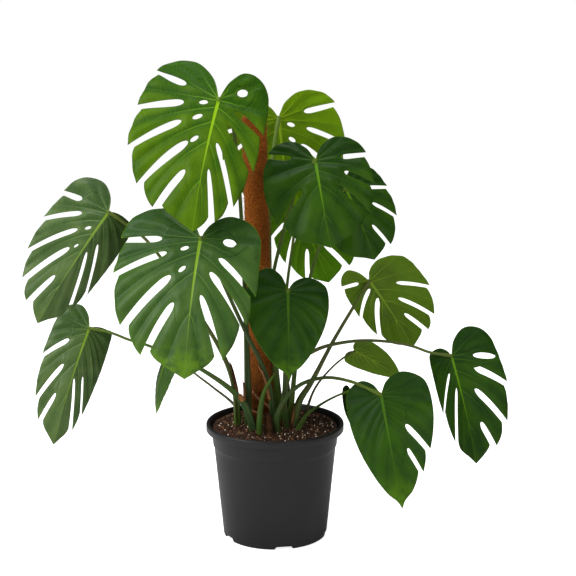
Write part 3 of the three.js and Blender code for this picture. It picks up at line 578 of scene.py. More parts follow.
def rib_width(leaf, v):
    """The midrib's half width at v, wider on a leaf with a thicker stalk."""
    share = np.clip(v / leaf["length"], 0, 1)
    return np.maximum(RIB_TIP_WIDTH, rib_foot_width(leaf) * (1 - share) ** RIB_TAPER)


def vein_distances(points, shares, veins):
    """How far each point of a finger's grid is from the nearest main vein, and how far out it is."""
    outward = unit(np.gradient(points, axis=1))
    step = np.diff(points, axis=0)
    side = np.linalg.norm(np.cross(step, (outward[1:] + outward[:-1]) / 2), axis=-1)
    passed = np.concatenate([np.zeros((1, points.shape[1])), np.cumsum(side, axis=0)])
    nearest = np.full(points.shape[:2], np.inf)
    for vein in veins:
        column = int(np.abs(shares - vein).argmin())
        nearest = np.minimum(nearest, np.abs(passed - passed[column]))
    spans = np.linalg.norm(np.diff(points, axis=1), axis=-1)
    run = np.concatenate([np.zeros((len(points), 1)), np.cumsum(spans, axis=1)], axis=1)
    return nearest, run


def blade_sheet(leaf):
    """The middle surface of a blade, both halves together: points, values at them, and faces."""
    points, values, faces = [], [], []
    count = 0
    for side in ("left", "right"):
        blade = HalfBlade(leaf, side)
        rib_share = rib_foot_width(leaf) / blade.width
        rows = [blade.rows(index, rib_share) for index in range(len(blade.q))]
        for finger, (near_rows, far_rows) in enumerate(zip(rows, rows[1:])):
            flat, q, t, shares, veins = blade.finger_grid(finger, near_rows, far_rows)
            placed = place_on_blade(leaf, side, flat, q, t)
            gaps, run = vein_distances(placed, shares, veins)
            rib = flat[..., 0] / rib_width(leaf, flat[..., 1])
            along = np.clip(flat[..., 1] / leaf["length"], -1, 1)
            values.append(np.stack([gaps, run, t, rib, along], -1).reshape(-1, 5))
            points.append(placed.reshape(-1, 3))
            across, out = placed.shape[:2]
            quads = grid_faces(across, out, turned=side == "left")
            # The strip beside the notch at the petiole has no area.
            skipped = out - 1 if finger == 0 else 0
            faces += [tuple(v + count for v in quad) for quad in quads[skipped:]]
            count += across * out
    return np.vstack(points), np.vstack(values), faces


def merged(points, values, faces):
    """Points in one place made one, their values averaged, and faces with no area dropped."""
    _, first, which = np.unique(
        (points * 1000).round().astype(np.int64), axis=0, return_index=True, return_inverse=True)
    which = which.reshape(-1)
    total = np.zeros((len(first), values.shape[1]))
    np.add.at(total, which, values)
    average = total / np.bincount(which)[:, None]
    kept = []
    for face in faces:
        turned = [which[v] for v in face]
        corners = [v for i, v in enumerate(turned) if v != turned[i - 1]]
        if len(set(corners)) == len(corners) > 2:
            kept.append(tuple(corners))
    used = sorted({v for face in kept for v in face})
    place = {v: i for i, v in enumerate(used)}
    kept = [tuple(place[v] for v in face) for face in kept]
    return points[first][used], average[used], kept


def point_normals(points, faces):
    """A normal for each point, from the faces round it, larger faces counting for more."""
    normals = np.zeros_like(points)
    for corners in (3, 4):
        some = np.array([face for face in faces if len(face) == corners], int).reshape(-1, corners)
        a, b, c = points[some[:, 0]], points[some[:, 1]], points[some[:, 2]]
        area = np.cross(b - a, c - a)
        if corners == 4:
            area = area + np.cross(c - a, points[some[:, 3]] - a)
        for k in range(corners):
            np.add.at(normals, some[:, k], area)
    return unit(normals)


def open_edges(faces):
    """The edges with a face on one side only."""
    edges = {(face[i - 1], v) for face in faces for i, v in enumerate(face)}
    return [edge for edge in edges if edge[::-1] not in edges]


def shell_faces(faces, edges, count):
    """A second layer's faces, turned over, and the walls between the open edges of both layers."""
    below = [tuple(v + count for v in face[::-1]) for face in faces]
    return below, [(b, a, a + count, b + count) for a, b in edges]


def edge_distances(points, edges):
    rim = sorted({v for edge in edges for v in edge})
    tree = KDTree(len(rim))
    for i, v in enumerate(rim):
        tree.insert(points[v], i)
    tree.balance()
    return np.array([tree.find(point)[2] for point in points])


def add_blade(piece, leaf):
    """A closed blade: puffed between its side veins, thin at the edge, ribbed on its underside."""
    points, values, faces = merged(*blade_sheet(leaf))
    vein_gap, _, reach, rib, along = values.T
    normals = point_normals(points, faces)
    edges = open_edges(faces)
    edge_gap = edge_distances(points, edges)
    inside = smooth(0, EDGE_TAPER, edge_gap)
    half_rib = rib_width(leaf, along * leaf["length"])
    puff = PUFF_HEIGHT * (1 - bell(vein_gap, PUFF_SPREAD)) * smooth(0, 3 * EDGE_TAPER, edge_gap)
    puff = puff * smooth(0, RIB_VALLEY, rib * half_rib)
    groove = GROOVE_DEPTH * bell(vein_gap, GROOVE_WIDTH) * inside * (1 - reach)
    middle = points + normals * (smooth(*BESIDE_RIB, rib) * (puff - groove))[:, None]
    half_thickness = lerp(EDGE_THICKNESS, FULL_THICKNESS, inside) / 2
    round_rib = np.sqrt(np.clip(1 - rib ** 2, 0, 1))
    fade_start, fade_end, faded = HOLLOW_FADE
    hollow = RIB_HOLLOW * round_rib * inside * (1 - faded * smooth(fade_start, fade_end, along))
    rib_depth = RIB_DEPTH * half_rib * round_rib * inside
    side_rib = SIDE_RIB_HEIGHT * (1 - SIDE_RIB_FADE * reach) * bell(vein_gap, SIDE_RIB_WIDTH) * inside
    side_rib = side_rib * smooth(0, SIDE_RIB_START, reach)
    upper = middle + normals * (half_thickness - hollow)[:, None]
    under = middle - normals * (half_thickness + np.maximum(rib_depth, side_rib))[:, None]
    doubled = {
        key: np.concatenate([value, value]) for key, value in zip(BLADE_VALUES, (*values.T, edge_gap))}
    below, walls = shell_faces(faces, edges, len(points))
    piece.add(
        [upper, under], faces + below, walls, under=np.repeat([0, 1], len(points)), **doubled)


# Stalks

def carried_frames(line, last_normal):
    """Normals carried back along a line from its last point without a twist, and the third axes."""
    tangents = unit(np.gradient(line, axis=0))
    normals = np.zeros_like(line)
    normal = np.array(last_normal, float)
    for i in range(len(line) - 1, -1, -1):
        normal = unit(normal - tangents[i] * (normal @ tangents[i]))
        normals[i] = normal
    return normals, np.cross(tangents, normals)


def rounded_end(line, radii, steps=5):
    """The line and radii with a half ball added at the end."""
    direction = unit(line[-1] - line[-2])
    turns = np.linspace(0, np.pi / 2, steps + 1)[1:-1]
    more = line[-1] + direction * (np.sin(turns) * radii[-1])[:, None]
    last = line[-1] + direction * radii[-1]
    closing = np.append(radii[-1] * np.cos(turns), POINT_RADIUS)
    return np.vstack([line, more, last]), np.concatenate([radii, closing])


def add_stalk(piece, line, radii, normal, section, slot=0, sides=STALK_SIDES):
    """A closed stalk along a line. The section gives the radius round it, from the side of normal."""
    line, radii = rounded_end(line, radii)
    normals, others = carried_frames(line, normal)
    run = running_length(line)
    share = run / run[-1]
    angle = (2 * np.pi * np.arange(sides) / sides)[:, None]
    turned = (angle + np.pi) % (2 * np.pi) - np.pi
    ring = np.cos(angle)[..., None] * normals + np.sin(angle)[..., None] * others
    radius = radii * section(turned, share[None])
    ones = np.ones((sides, len(line)))
    piece.add_tube(
        line + ring * radius[..., None], slot=slot, share=share * ones, run=run * ones,
        round_x=np.cos(angle) * ones, round_y=np.sin(angle) * ones)


def petiole_section(angle, share):
    """Round above; a grooved, winged sheath clasps the stem below."""
    sheath = 1 - smooth(*SHEATH_FADE, share)
    knee = smooth(KNEE_START, 1, share)
    groove = bell(angle, STALK_GROOVE_WIDTH) * lerp(*STALK_GROOVE_DEPTHS, sheath) * (1 - knee)
    wings = bell(np.abs(angle) - WING_ANGLE, WING_WIDTH) * WING_HEIGHT * sheath
    return 1 - groove + wings


def rooted_line(route, step):
    """An even line along a route from the soil's surface, begun a little below it."""
    x, y, z = route[0]
    return even_steps(centripetal_curve([(x, y, z - ROOT_DEPTH), *route], CURVE_STEPS), step)


def tapered(line, radii, taper):
    """The radii along a line, from a thick foot to a thin end."""
    thick, thin = radii
    return lerp(thin, thick, (1 - run_shares(line)) ** taper)


def petiole_line(leaf):
    return rooted_line([*leaf["route"], leaf["base"]], STALK_STEP)


def add_petiole(piece, leaf):
    line = petiole_line(leaf)
    run = running_length(line)
    knee = smooth(KNEE_LENGTH, KNEE_LENGTH - KNEE_FADE, run[-1] - run)
    radii = tapered(line, leaf["radii"], STALK_TAPER) * (1 + KNEE_SWELLING * knee)
    add_stalk(piece, line, radii, blade_axes(leaf)[2], petiole_section, slot=1)


def make_leaf(leaf):
    leaf["length"] = math.dist(leaf["base"], leaf["tip"])
    piece = Piece()
    add_blade(piece, leaf)
    add_petiole(piece, leaf)
    materials = [leaf_material(leaf["look"]), stalk_material(leaf.get("stalk", "green"))]
    declare(piece.finish(leaf["where"] + "_leaf", materials), "leaf", "leaf_" + leaf["where"])


# Node trees

class Nodes:
    """A node tree, with short ways to add nodes whose inputs are sockets, numbers or colours."""

    def __init__(self, tree):
        self.tree = tree

    def join(self, value, socket):
        if isinstance(value, bpy.types.NodeSocket):
            self.tree.links.new(value, socket)
        else:
            socket.default_value = (*value, 1.0) if socket.type == "RGBA" else value

    def add(self, kind, inputs=(), **settings):
        made = self.tree.nodes.new(kind)
        for name, value in settings.items():
            setattr(made, name, value)
        for key, value in dict(inputs).items():
            self.join(value, made.inputs[key])
        return made

    def maths(self, operation, *values, clamp=False):
        inputs = enumerate(values)
        return self.add("ShaderNodeMath", inputs, operation=operation, use_clamp=clamp).outputs[0]

    def times(self, a, b):
        return self.maths("MULTIPLY", a, b)

    def scaled(self, value, factor, plus):
        return self.maths("MULTIPLY_ADD", value, factor, plus)

    def ranged(self, value, low, high, to_low=0.0, to_high=1.0):
        """The value moved smoothly from one range to another."""
        inputs = {"Value": value, "From Min": low, "From Max": high, "To Min": to_low, "To Max": to_high}
        return self.add("ShaderNodeMapRange", inputs, interpolation_type="SMOOTHSTEP").outputs["Result"]

    def blended(self, factor, a, b):
        return self.add("ShaderNodeMix", {0: factor, 6: a, 7: b}, data_type="RGBA").outputs[2]

    def attribute(self, name):
        return self.add("ShaderNodeAttribute", attribute_name=name).outputs["Fac"]

    def place(self):
        return self.add("ShaderNodeTexCoord").outputs["Object"]

    def stretched(self, place, scale):
        return self.add("ShaderNodeMapping", {"Vector": place, "Scale": scale}).outputs[0]

    def noise(self, place, scale, detail=3.0, roughness=0.5, output="Fac"):
        inputs = {"Vector": place, "Scale": scale, "Detail": detail, "Roughness": roughness}
        return self.add("ShaderNodeTexNoise", inputs).outputs[output]

    def vector(self, operation, value, other, by):
        return self.add("ShaderNodeVectorMath", {0: value, other: by}, operation=operation).outputs[0]


def node_group(name, kind, inputs, outputs):
    """An empty group with named inputs and outputs: its nodes, and the sockets of both."""
    tree = bpy.data.node_groups.new(name, kind)
    for way, sockets in (("INPUT", inputs), ("OUTPUT", outputs)):
        for label, socket in sockets.items():
            tree.interface.new_socket(label, in_out=way, socket_type="NodeSocket" + socket)
    given, put_out = tree.nodes.new("NodeGroupInput"), tree.nodes.new("NodeGroupOutput")
    return Nodes(tree), given.outputs, put_out.inputs


def surface_group(name, colours, numbers=()):
    """A shader group that turns colours and numbers into a surface's colour, roughness and height."""
    inputs = {**{label: "Color" for label in colours}, **{label: "Float" for label in numbers}}
    outputs = {"Color": "Color", "Roughness": "Float", "Height": "Float"}
    return node_group(name, "ShaderNodeTree", inputs, outputs)


def new_material(name, mirror):
    """A material, its nodes and its Principled shader, which mirrors as strongly as mirror says."""
    material = bpy.data.materials.new(name)
    material.use_nodes = True
    shader = material.node_tree.nodes["Principled BSDF"]
    shader.inputs["Specular IOR Level"].default_value = mirror
    return material, Nodes(material.node_tree), shader


def dress(nodes, shader, tint, rough, height, depth, strength=1.0):
    """Give a shader its colour, roughness and bumps, whose depth is in metres."""
    bump = nodes.add("ShaderNodeBump", {"Height": height, "Distance": depth, "Strength": strength})
    for value, socket in ((tint, "Base Color"), (rough, "Roughness"), (bump.outputs[0], "Normal")):
        nodes.join(value, shader.inputs[socket])


def grouped_material(name, mirror, group, inputs, depth, strength):
    material, nodes, shader = new_material(name, mirror)
    given = nodes.add("ShaderNodeGroup", node_tree=group)
    for label, value in inputs.items():
        nodes.join(value, given.inputs[label])
    out = given.outputs
    dress(nodes, shader, out["Color"], out["Roughness"], out["Height"], depth, strength)
    return material


# Leaf surface

LEAF_COLOURS = ("Blade", "Shade", "Vein", "Rib", "Edge", "Under", "Under Vein")
NET_SCALE = 330.0
SIDE_VEIN_SPACING = 4.2
SIDE_VEIN_LEAN = -0.62
LEAF_BUMP = (0.00025, 0.6)


def leaf_surface_group():
    """Blade colour by the veins, the midrib, the edge and the side that shows, with painted shade beside
    the main veins and on the upper lobes.
    """
    nodes, given, out = surface_group("leaf surface", LEAF_COLOURS, ["Tip"])
    blended, ranged, times, scaled = nodes.blended, nodes.ranged, nodes.times, nodes.scaled
    vein_gap, vein_run, reach, rib, along, edge_gap, under = (
        nodes.attribute(name) for name in (*BLADE_VALUES, "under"))
    place = nodes.place()
    patch = nodes.noise(place, 22.0, 4.0, 0.55)
    speckle = nodes.noise(place, 420.0, 2.0)
    drift = nodes.noise(place, 60.0, 2.0)

    vein_share = nodes.maths("DIVIDE", vein_gap, ranged(reach, 0.0, 1.0, 1.5, 0.5))
    vein = ranged(vein_share, 0.35, 1.0, 1.0, 0.0)
    lean = scaled(drift, 9.0, scaled(vein_gap, SIDE_VEIN_LEAN, vein_run))
    side_vein = ranged(nodes.maths("PINGPONG", lean, SIDE_VEIN_SPACING), 0.15, 0.75, 1.0, 0.0)
    cells = nodes.add(
        "ShaderNodeTexVoronoi", {"Vector": place, "Scale": NET_SCALE}, feature="DISTANCE_TO_EDGE")
    net = ranged(cells.outputs["Distance"], 0.02, 0.14, 1.0, 0.0)

    # Painted shade: darker beside the main veins, where the creases lie in shade, and towards the upper
    # lobes, which curve back away from the light. The patches are the leaf's own uneven tone.
    painted_crease_shade = ranged(vein_gap, 1.0, 13.0, 0.45, 0.0)
    patchy = ranged(patch, 0.35, 0.68, 0.0, 0.55)
    upper = ranged(along, -0.3, 0.35, 0.75, 0.0)
    painted_shade_and_patches = nodes.maths("ADD", painted_crease_shade, nodes.maths("ADD", patchy, upper), clamp=True)
    blade = blended(painted_shade_and_patches, given["Blade"], given["Shade"])
    tip = times(times(ranged(along, 0.7, 1.0), ranged(drift, 0.3, 0.6)), given["Tip"])
    blade = blended(tip, blade, given["Edge"])
    blade = blended(times(side_vein, 0.16), blade, given["Vein"])
    blade = blended(times(net, 0.1), blade, given["Shade"])
    blade = blended(times(vein, ranged(reach, 0.05, 0.75, 0.66, 0.16)), blade, given["Vein"])
    rib_show = times(ranged(rib, 0.6, 1.05, 1.0, 0.0), ranged(along, 0.15, 0.8, 1.0, 0.35))
    blade = blended(rib_show, blade, given["Rib"])

    thin = times(patchy, ranged(reach, 0.4, 0.95, 1.0, 0.0))
    back = blended(thin, given["Under"], given["Shade"])
    for show in (
        times(side_vein, 0.14), times(net, 0.06), times(vein, ranged(reach, 0.1, 0.8, 0.85, 0.3)),
        ranged(rib, 0.8, 1.15, 1.0, 0.0),
    ):
        back = blended(show, back, given["Under Vein"])

    whole = blended(under, blade, back)
    rim = ranged(edge_gap, 0.35, 1.1, 0.8, 0.0)
    nodes.join(blended(rim, whole, given["Edge"]), out["Color"])
    rough = scaled(speckle, 0.06, scaled(under, 0.16, scaled(patch, 0.18, 0.3)))
    nodes.join(rough, out["Roughness"])
    nodes.join(scaled(speckle, 0.3, scaled(side_vein, -0.5, times(net, -0.35))), out["Height"])
    return nodes.tree


LEAF_SURFACE = leaf_surface_group()

# Blade colours in the order of LEAF_COLOURS, then how far the edge's colour comes up from the tip
# and how strongly the leaf mirrors.
LEAF_LOOKS = {
    "bright": (
        (0.072, 0.148, 0.002), (0.02, 0.07, 0.002), (0.11, 0.24, 0.008), (0.2, 0.36, 0.006),
        (0.045, 0.075, 0.012), (0.11, 0.2, 0.01), (0.24, 0.36, 0.03), 0.0, 0.06),
    # The grey-blue cast in these blade colours is painted sheen, on top of the leaf's own mirroring.
    "bluish_sheen": (
        (0.052, 0.11, 0.018), (0.016, 0.057, 0.005), (0.08, 0.165, 0.022), (0.17, 0.3, 0.015),
        (0.1, 0.21, 0.004), (0.09, 0.17, 0.01), (0.2, 0.32, 0.03), 0.75, 0.15),
    # The grey cast in these blade colours is painted sheen.
    "grey_sheen": (
        (0.085, 0.14, 0.036), (0.03, 0.07, 0.012), (0.12, 0.2, 0.04), (0.18, 0.3, 0.025),
        (0.06, 0.11, 0.012), (0.09, 0.16, 0.012), (0.2, 0.32, 0.03), 0.3, 0.24),
    "glossy": (
        (0.026, 0.08, 0.002), (0.01, 0.042, 0.002), (0.03, 0.086, 0.003), (0.048, 0.13, 0.004),
        (0.07, 0.17, 0.002), (0.09, 0.16, 0.01), (0.2, 0.32, 0.03), 0.8, 0.12),
    "deep": (
        (0.028, 0.082, 0.002), (0.01, 0.04, 0.002), (0.045, 0.125, 0.004), (0.09, 0.22, 0.004),
        (0.055, 0.12, 0.005), (0.09, 0.17, 0.006), (0.2, 0.32, 0.02), 0.0, 0.1),
    "pale": (
        (0.06, 0.135, 0.006), (0.05, 0.09, 0.012), (0.1, 0.2, 0.015), (0.2, 0.32, 0.02),
        (0.12, 0.24, 0.006), (0.098, 0.19, 0.005), (0.19, 0.31, 0.02), 0.0, 0.14),
    "shaded": (
        (0.06, 0.135, 0.006), (0.045, 0.11, 0.004), (0.1, 0.2, 0.015), (0.2, 0.32, 0.02),
        (0.1, 0.24, 0.004), (0.085, 0.235, 0.002), (0.17, 0.34, 0.01), 0.0, 0.08),
    "sunny": (
        (0.09, 0.18, 0.004), (0.06, 0.15, 0.003), (0.14, 0.26, 0.01), (0.25, 0.38, 0.015),
        (0.16, 0.28, 0.006), (0.14, 0.28, 0.002), (0.26, 0.42, 0.012), 0.0, 0.08),
}


@functools.cache
def leaf_material(look):
    *tints, tip, mirror = LEAF_LOOKS[look]
    inputs = {**dict(zip(LEAF_COLOURS, tints)), "Tip": tip}
    return grouped_material(look + " leaf", mirror, LEAF_SURFACE, inputs, *LEAF_BUMP)


# Stalk surface

STALK_COLOURS = ("Foot", "Middle", "Top", "Streak")
STALK_LOOKS = {
    "green": ((0.04, 0.095, 0.012), (0.045, 0.095, 0.01), (0.11, 0.2, 0.015), (0.07, 0.07, 0.015)),
    "dark": ((0.016, 0.05, 0.014), (0.028, 0.07, 0.01), (0.1, 0.18, 0.012), (0.06, 0.05, 0.012)),
    "light": ((0.05, 0.13, 0.01), (0.045, 0.12, 0.01), (0.13, 0.22, 0.03), (0.09, 0.14, 0.02)),
    "olive": ((0.05, 0.12, 0.012), (0.06, 0.095, 0.018), (0.09, 0.14, 0.018), (0.09, 0.07, 0.02)),
    "rolled": ((0.06, 0.14, 0.008), (0.035, 0.09, 0.006), (0.055, 0.13, 0.006), (0.05, 0.06, 0.012)),
    "brown": ((0.04, 0.07, 0.012), (0.05, 0.06, 0.016), (0.08, 0.12, 0.015), (0.08, 0.055, 0.02)),
}
STALK_MIRROR = 0.2
STALK_BUMP = (0.0005, 0.5)
STREAK_STRETCH = 0.012


def stalk_surface_group():
    """Lengthwise streaks and a change of colour from the foot to the top."""
    nodes, given, out = surface_group("stalk surface", STALK_COLOURS)
    share = nodes.attribute("share")
    place = nodes.add("ShaderNodeCombineXYZ", {
        "X": nodes.attribute("round_x"), "Y": nodes.attribute("round_y"),
        "Z": nodes.times(nodes.attribute("run"), STREAK_STRETCH)}).outputs[0]
    streak = nodes.noise(place, 5.0, 4.0, 0.6)
    patch = nodes.noise(nodes.place(), 45.0, 3.0)
    base = nodes.blended(nodes.ranged(share, 0.02, 0.3), given["Foot"], given["Middle"])
    base = nodes.blended(nodes.ranged(share, 0.55, 0.98), base, given["Top"])
    marks = nodes.ranged(nodes.scaled(patch, 0.5, streak), 0.62, 0.95, 0.0, 0.65)
    nodes.join(nodes.blended(marks, base, given["Streak"]), out["Color"])
    nodes.join(nodes.scaled(streak, 0.25, 0.3), out["Roughness"])
    nodes.join(nodes.noise(place, 17.0, 3.0, 0.6), out["Height"])
    return nodes.tree


STALK_SURFACE = stalk_surface_group()


@functools.cache
def stalk_material(look):
    inputs = dict(zip(STALK_COLOURS, STALK_LOOKS[look]))
    return grouped_material(look + " stalk", STALK_MIRROR, STALK_SURFACE, inputs, *STALK_BUMP)


# Grainy finishes

COIR_DARK_HEIGHTS = (0.24, 0.46)
COIR_DARK_SHARE = 0.45
# A dark and a light colour, the grain's scale, the lowest and highest roughness, the bumps' depth,
# the scale along Z over that across it, how strongly it mirrors, and the colour of a darker foot.
GRAINY = {
    "soil crumb": ((0.01, 0.005, 0.003), (0.075, 0.03, 0.014), 160.0, (0.8, 0.98), 0.0008, 1.0, 0.2),
    "bark chip": ((0.06, 0.026, 0.012), (0.24, 0.12, 0.06), 120.0, (0.7, 0.9), 0.0006, 1.0, 0.25),
    "pale grain": ((0.5, 0.4, 0.27), (0.92, 0.84, 0.68), 300.0, (0.8, 0.95), 0.0004, 1.0, 0.25),
    "loose fibre": (
        (0.21, 0.058, 0.004), (0.58, 0.22, 0.035), 70.0, (0.7, 0.9), 0.0003, 1.0, 0.25,
        (0.08, 0.038, 0.006)),
    "stake wood": ((0.1, 0.06, 0.03), (0.3, 0.2, 0.11), 60.0, (0.7, 0.85), 0.0004, 0.15, 0.3),
    "old bark": ((0.014, 0.007, 0.003), (0.06, 0.026, 0.01), 75.0, (0.75, 0.95), 0.0012, 0.5, 0.1),
    "aerial root": ((0.1, 0.042, 0.017), (0.3, 0.14, 0.065), 110.0, (0.7, 0.9), 0.0007, 1.0, 0.15),
    "dry sheath": ((0.07, 0.026, 0.008), (0.3, 0.13, 0.04), 60.0, (0.6, 0.85), 0.0006, 0.3, 0.25),
}


def darker_foot(nodes):
    """How much darker the coir is: most near the soil, not at all further up the pole."""
    height = nodes.add("ShaderNodeSeparateXYZ", {"Vector": nodes.place()}).outputs["Z"]
    return nodes.ranged(height, *COIR_DARK_HEIGHTS, COIR_DARK_SHARE, 0.0)


@functools.cache
def grainy_material(name):
    """Two colours by a noise, for soil, bark, wood and fibre."""
    dark, light, scale, rough, depth, stretch, mirror, *foot_tint = GRAINY[name]
    material, nodes, shader = new_material(name, mirror)
    place = nodes.stretched(nodes.place(), (1.0, 1.0, stretch))
    grain = nodes.noise(place, scale, 6.0, 0.62)
    tint = nodes.blended(nodes.ranged(grain, 0.32, 0.68), dark, light)
    for colour in foot_tint:
        tint = nodes.blended(darker_foot(nodes), tint, colour)
    fine = nodes.noise(place, 3 * scale, 4.0, 0.6)
    dress(nodes, shader, tint, nodes.scaled(grain, rough[1] - rough[0], rough[0]), fine, depth)
    return material


def pot_material():
    """Charcoal plastic, cloudy and a little scuffed round its sides."""
    material, nodes, shader = new_material("charcoal plastic", 0.32)
    place = nodes.place()
    cloud = nodes.noise(place, 9.0, 5.0, 0.6)
    grain = nodes.noise(place, 900.0, 2.0)
    scuff = nodes.noise(nodes.stretched(place, (1.0, 1.0, 6.0)), 38.0, 8.0, 0.7)
    scuffed = nodes.ranged(scuff, 0.58, 0.75, 0.0, 0.35)
    tint = nodes.blended(
        nodes.ranged(cloud, 0.35, 0.7), (0.0045, 0.0045, 0.0044), (0.0068, 0.0068, 0.0066))
    tint = nodes.blended(scuffed, tint, (0.03, 0.03, 0.029))
    rough = nodes.scaled(scuffed, 0.3, nodes.scaled(cloud, 0.2, 0.36))
    dress(nodes, shader, tint, rough, nodes.scaled(grain, 0.4, scuff), 0.00015, 0.7)
    return material


def soil_material():
    """Dark peat in clods, with lighter grit."""
    material, nodes, shader = new_material("potting soil", 0.25)
    place = nodes.place()
    clods = nodes.noise(place, 90.0, 8.0, 0.7)
    grit = nodes.noise(place, 420.0, 5.0, 0.7)
    tint = nodes.blended(
        nodes.ranged(clods, 0.35, 0.66), (0.012, 0.006, 0.004), (0.085, 0.035, 0.016))
    tint = nodes.blended(nodes.ranged(grit, 0.56, 0.7, 0.0, 0.7), tint, (0.17, 0.085, 0.04))
    rough = nodes.scaled(grit, 0.2, 0.78)
    dress(nodes, shader, tint, rough, nodes.maths("ADD", clods, grit), 0.0018)
    return material


def coir_material():
    """Matted fibre, brown in blotches and darker towards the soil."""
    material, nodes, shader = new_material("coir fibre", 0.2)
    place = nodes.place()
    weave = nodes.noise(nodes.stretched(place, (1.0, 1.0, 0.6)), 520.0, 5.0, 0.7)
    blotch = nodes.noise(place, 26.0, 4.0, 0.6)
    tint = nodes.blended(
        nodes.ranged(weave, 0.36, 0.64), (0.12, 0.028, 0.0015), (0.38, 0.1, 0.005))
    tint = nodes.blended(nodes.ranged(blotch, 0.4, 0.7, 0.0, 0.6), tint, (0.16, 0.046, 0.003))
    tint = nodes.blended(darker_foot(nodes), tint, (0.06, 0.026, 0.003))
    dress(nodes, shader, tint, 0.9, weave, 0.0012)
    return material


# Pot

POT_HEIGHT = 215
POT_WALL = 1.8
POT_FLOOR = 2.5
POT_BOTTOM_RADIUS = 96.6
COLLAR_FOOT = (113.1, 171)
COLLAR_STEP = (115.1, 175)
RIM_ROOT = (117.6, 198)
RIM_RADIUS = 127.5
RIM_DROP = 14
RIM_LIP = 6.5
RIM_TURN = 3.6
FOOT_CHAMFER = 2
NOTCH_COUNT = 5
NOTCH_HEIGHT = 7
NOTCH_WIDTH = 36
NOTCH_DEPTH = 14
NOTCH_SLANT = 5
FIRST_NOTCH_ANGLE = 10
POT_SEGMENTS = 240
SOIL_FOOT = 60
SOIL_EDGE = 206
SOIL_SHOULDER = (80, 209.5)
SOIL_MIDDLE = 211
CLEARANCE = 0.35


def rim_arch(inset, steps):
    """The turned-down rim: from the lip over the top to the inner wall."""
    middle = RIM_RADIUS - RIM_LIP / 2
    angles = np.linspace(0, np.pi, steps + 1)
    radius = middle + (RIM_LIP / 2 - inset) * np.cos(angles)
    return list(zip(radius, POT_HEIGHT - RIM_TURN + (RIM_TURN - inset) * np.sin(angles)))


def inner_wall(z):
    wall = [(0, POT_BOTTOM_RADIUS), COLLAR_FOOT[::-1], COLLAR_STEP[::-1], RIM_ROOT[::-1]]
    return knots(wall, z) - POT_WALL


def stepped(low, high, count):
    """Points from one profile point to the next, the last one left out."""
    return [(lerp(low[0], high[0], f), lerp(low[1], high[1], f))
            for f in np.linspace(0, 1, count, endpoint=False)]


def pot_profile():
    """From the underside over the outside, the rim and the inside to the floor."""
    (collar, collar_z), (step, step_z) = COLLAR_FOOT, COLLAR_STEP
    lip = POT_HEIGHT - RIM_DROP
    outer = [(POT_BOTTOM_RADIUS - FOOT_CHAMFER, 0), (POT_BOTTOM_RADIUS - 0.5, 0.6)]
    outer += stepped((POT_BOTTOM_RADIUS, FOOT_CHAMFER), COLLAR_FOOT, 24)
    outer += [COLLAR_FOOT, (collar + 0.8, collar_z + 0.7), (step - 0.3, step_z - 1.2), COLLAR_STEP]
    outer += stepped((step + 0.15, step_z + 1.5), RIM_ROOT, 6)
    under = [RIM_ROOT, *rim_arch(POT_WALL, 8)[::-1]]
    lips = [(RIM_RADIUS - POT_WALL, lip + 0.5), (RIM_RADIUS - POT_WALL + 0.5, lip),
            (RIM_RADIUS - 0.5, lip), (RIM_RADIUS, lip + 0.6)]
    inner = [(inner_wall(z), z) for z in (RIM_ROOT[1], step_z, collar_z, SOIL_FOOT, POT_FLOOR)]
    return outer + under + lips + rim_arch(0, 16) + inner


def cut_notches(pot):
    """Drain notches with slanted sides, cut through the corner of wall and floor."""
    cutter = Piece()
    foot, head = NOTCH_WIDTH / 2, NOTCH_WIDTH / 2 - NOTCH_SLANT
    outline = [(-foot, -1), (foot, -1), (head, NOTCH_HEIGHT), (-head, NOTCH_HEIGHT)]
    points = [(x, y - POT_BOTTOM_RADIUS, z) for y in (-NOTCH_DEPTH, NOTCH_DEPTH) for x, z in outline]
    sides = [(k, (k + 1) % 4, (k + 1) % 4 + 4, k + 4)[::-1] for k in range(4)]
    for i in range(NOTCH_COUNT):
        angle = math.radians(FIRST_NOTCH_ANGLE + i * 360 / NOTCH_COUNT)
        c, s = math.cos(angle), math.sin(angle)
        cutter.add([(x * c - y * s, x * s + y * c, z) for x, y, z in points],
                   [(0, 1, 2, 3), (7, 6, 5, 4), *sides])
    tool = cutter.finish("notch cutter", [])
    cut = pot.modifiers.new("notches", "BOOLEAN")
    cut.object = tool
    cut.solver = "EXACT"
    apply_modifiers(pot)
    bpy.data.objects.remove(tool)


def make_pot():
    profile = pot_profile()
    piece = Piece()
    piece.add_tube([[(r * c, r * s, z) for r, z in profile] for c, s in around(POT_SEGMENTS)])
    pot = piece.finish("nursery_pot", [pot_material()])
    cut_notches(pot)
    declare(pot, "pot_plastic", "pot")


# Soil

SOIL_RINGS = 70
SOIL_SPOKES = 200
SOIL_HOLE = 0.4
LUMP_HEIGHT = 2.6
CALM_EDGE = 6
LUMPS = ((0.055, 3.1, 0.55), (0.17, 7.7, 0.5), (0.5, 1.3, 0.32))


def lumps(x, y):
    """How far the soil's surface stands up, from coarse, medium and fine lumps."""
    return LUMP_HEIGHT * sum(
        share * noise.noise(Vector((x * scale, y * scale, layer))) for scale, layer, share in LUMPS)


def soil_height(radius):
    return knots([(0, SOIL_MIDDLE), SOIL_SHOULDER, (inner_wall(SOIL_EDGE), SOIL_EDGE)], radius)


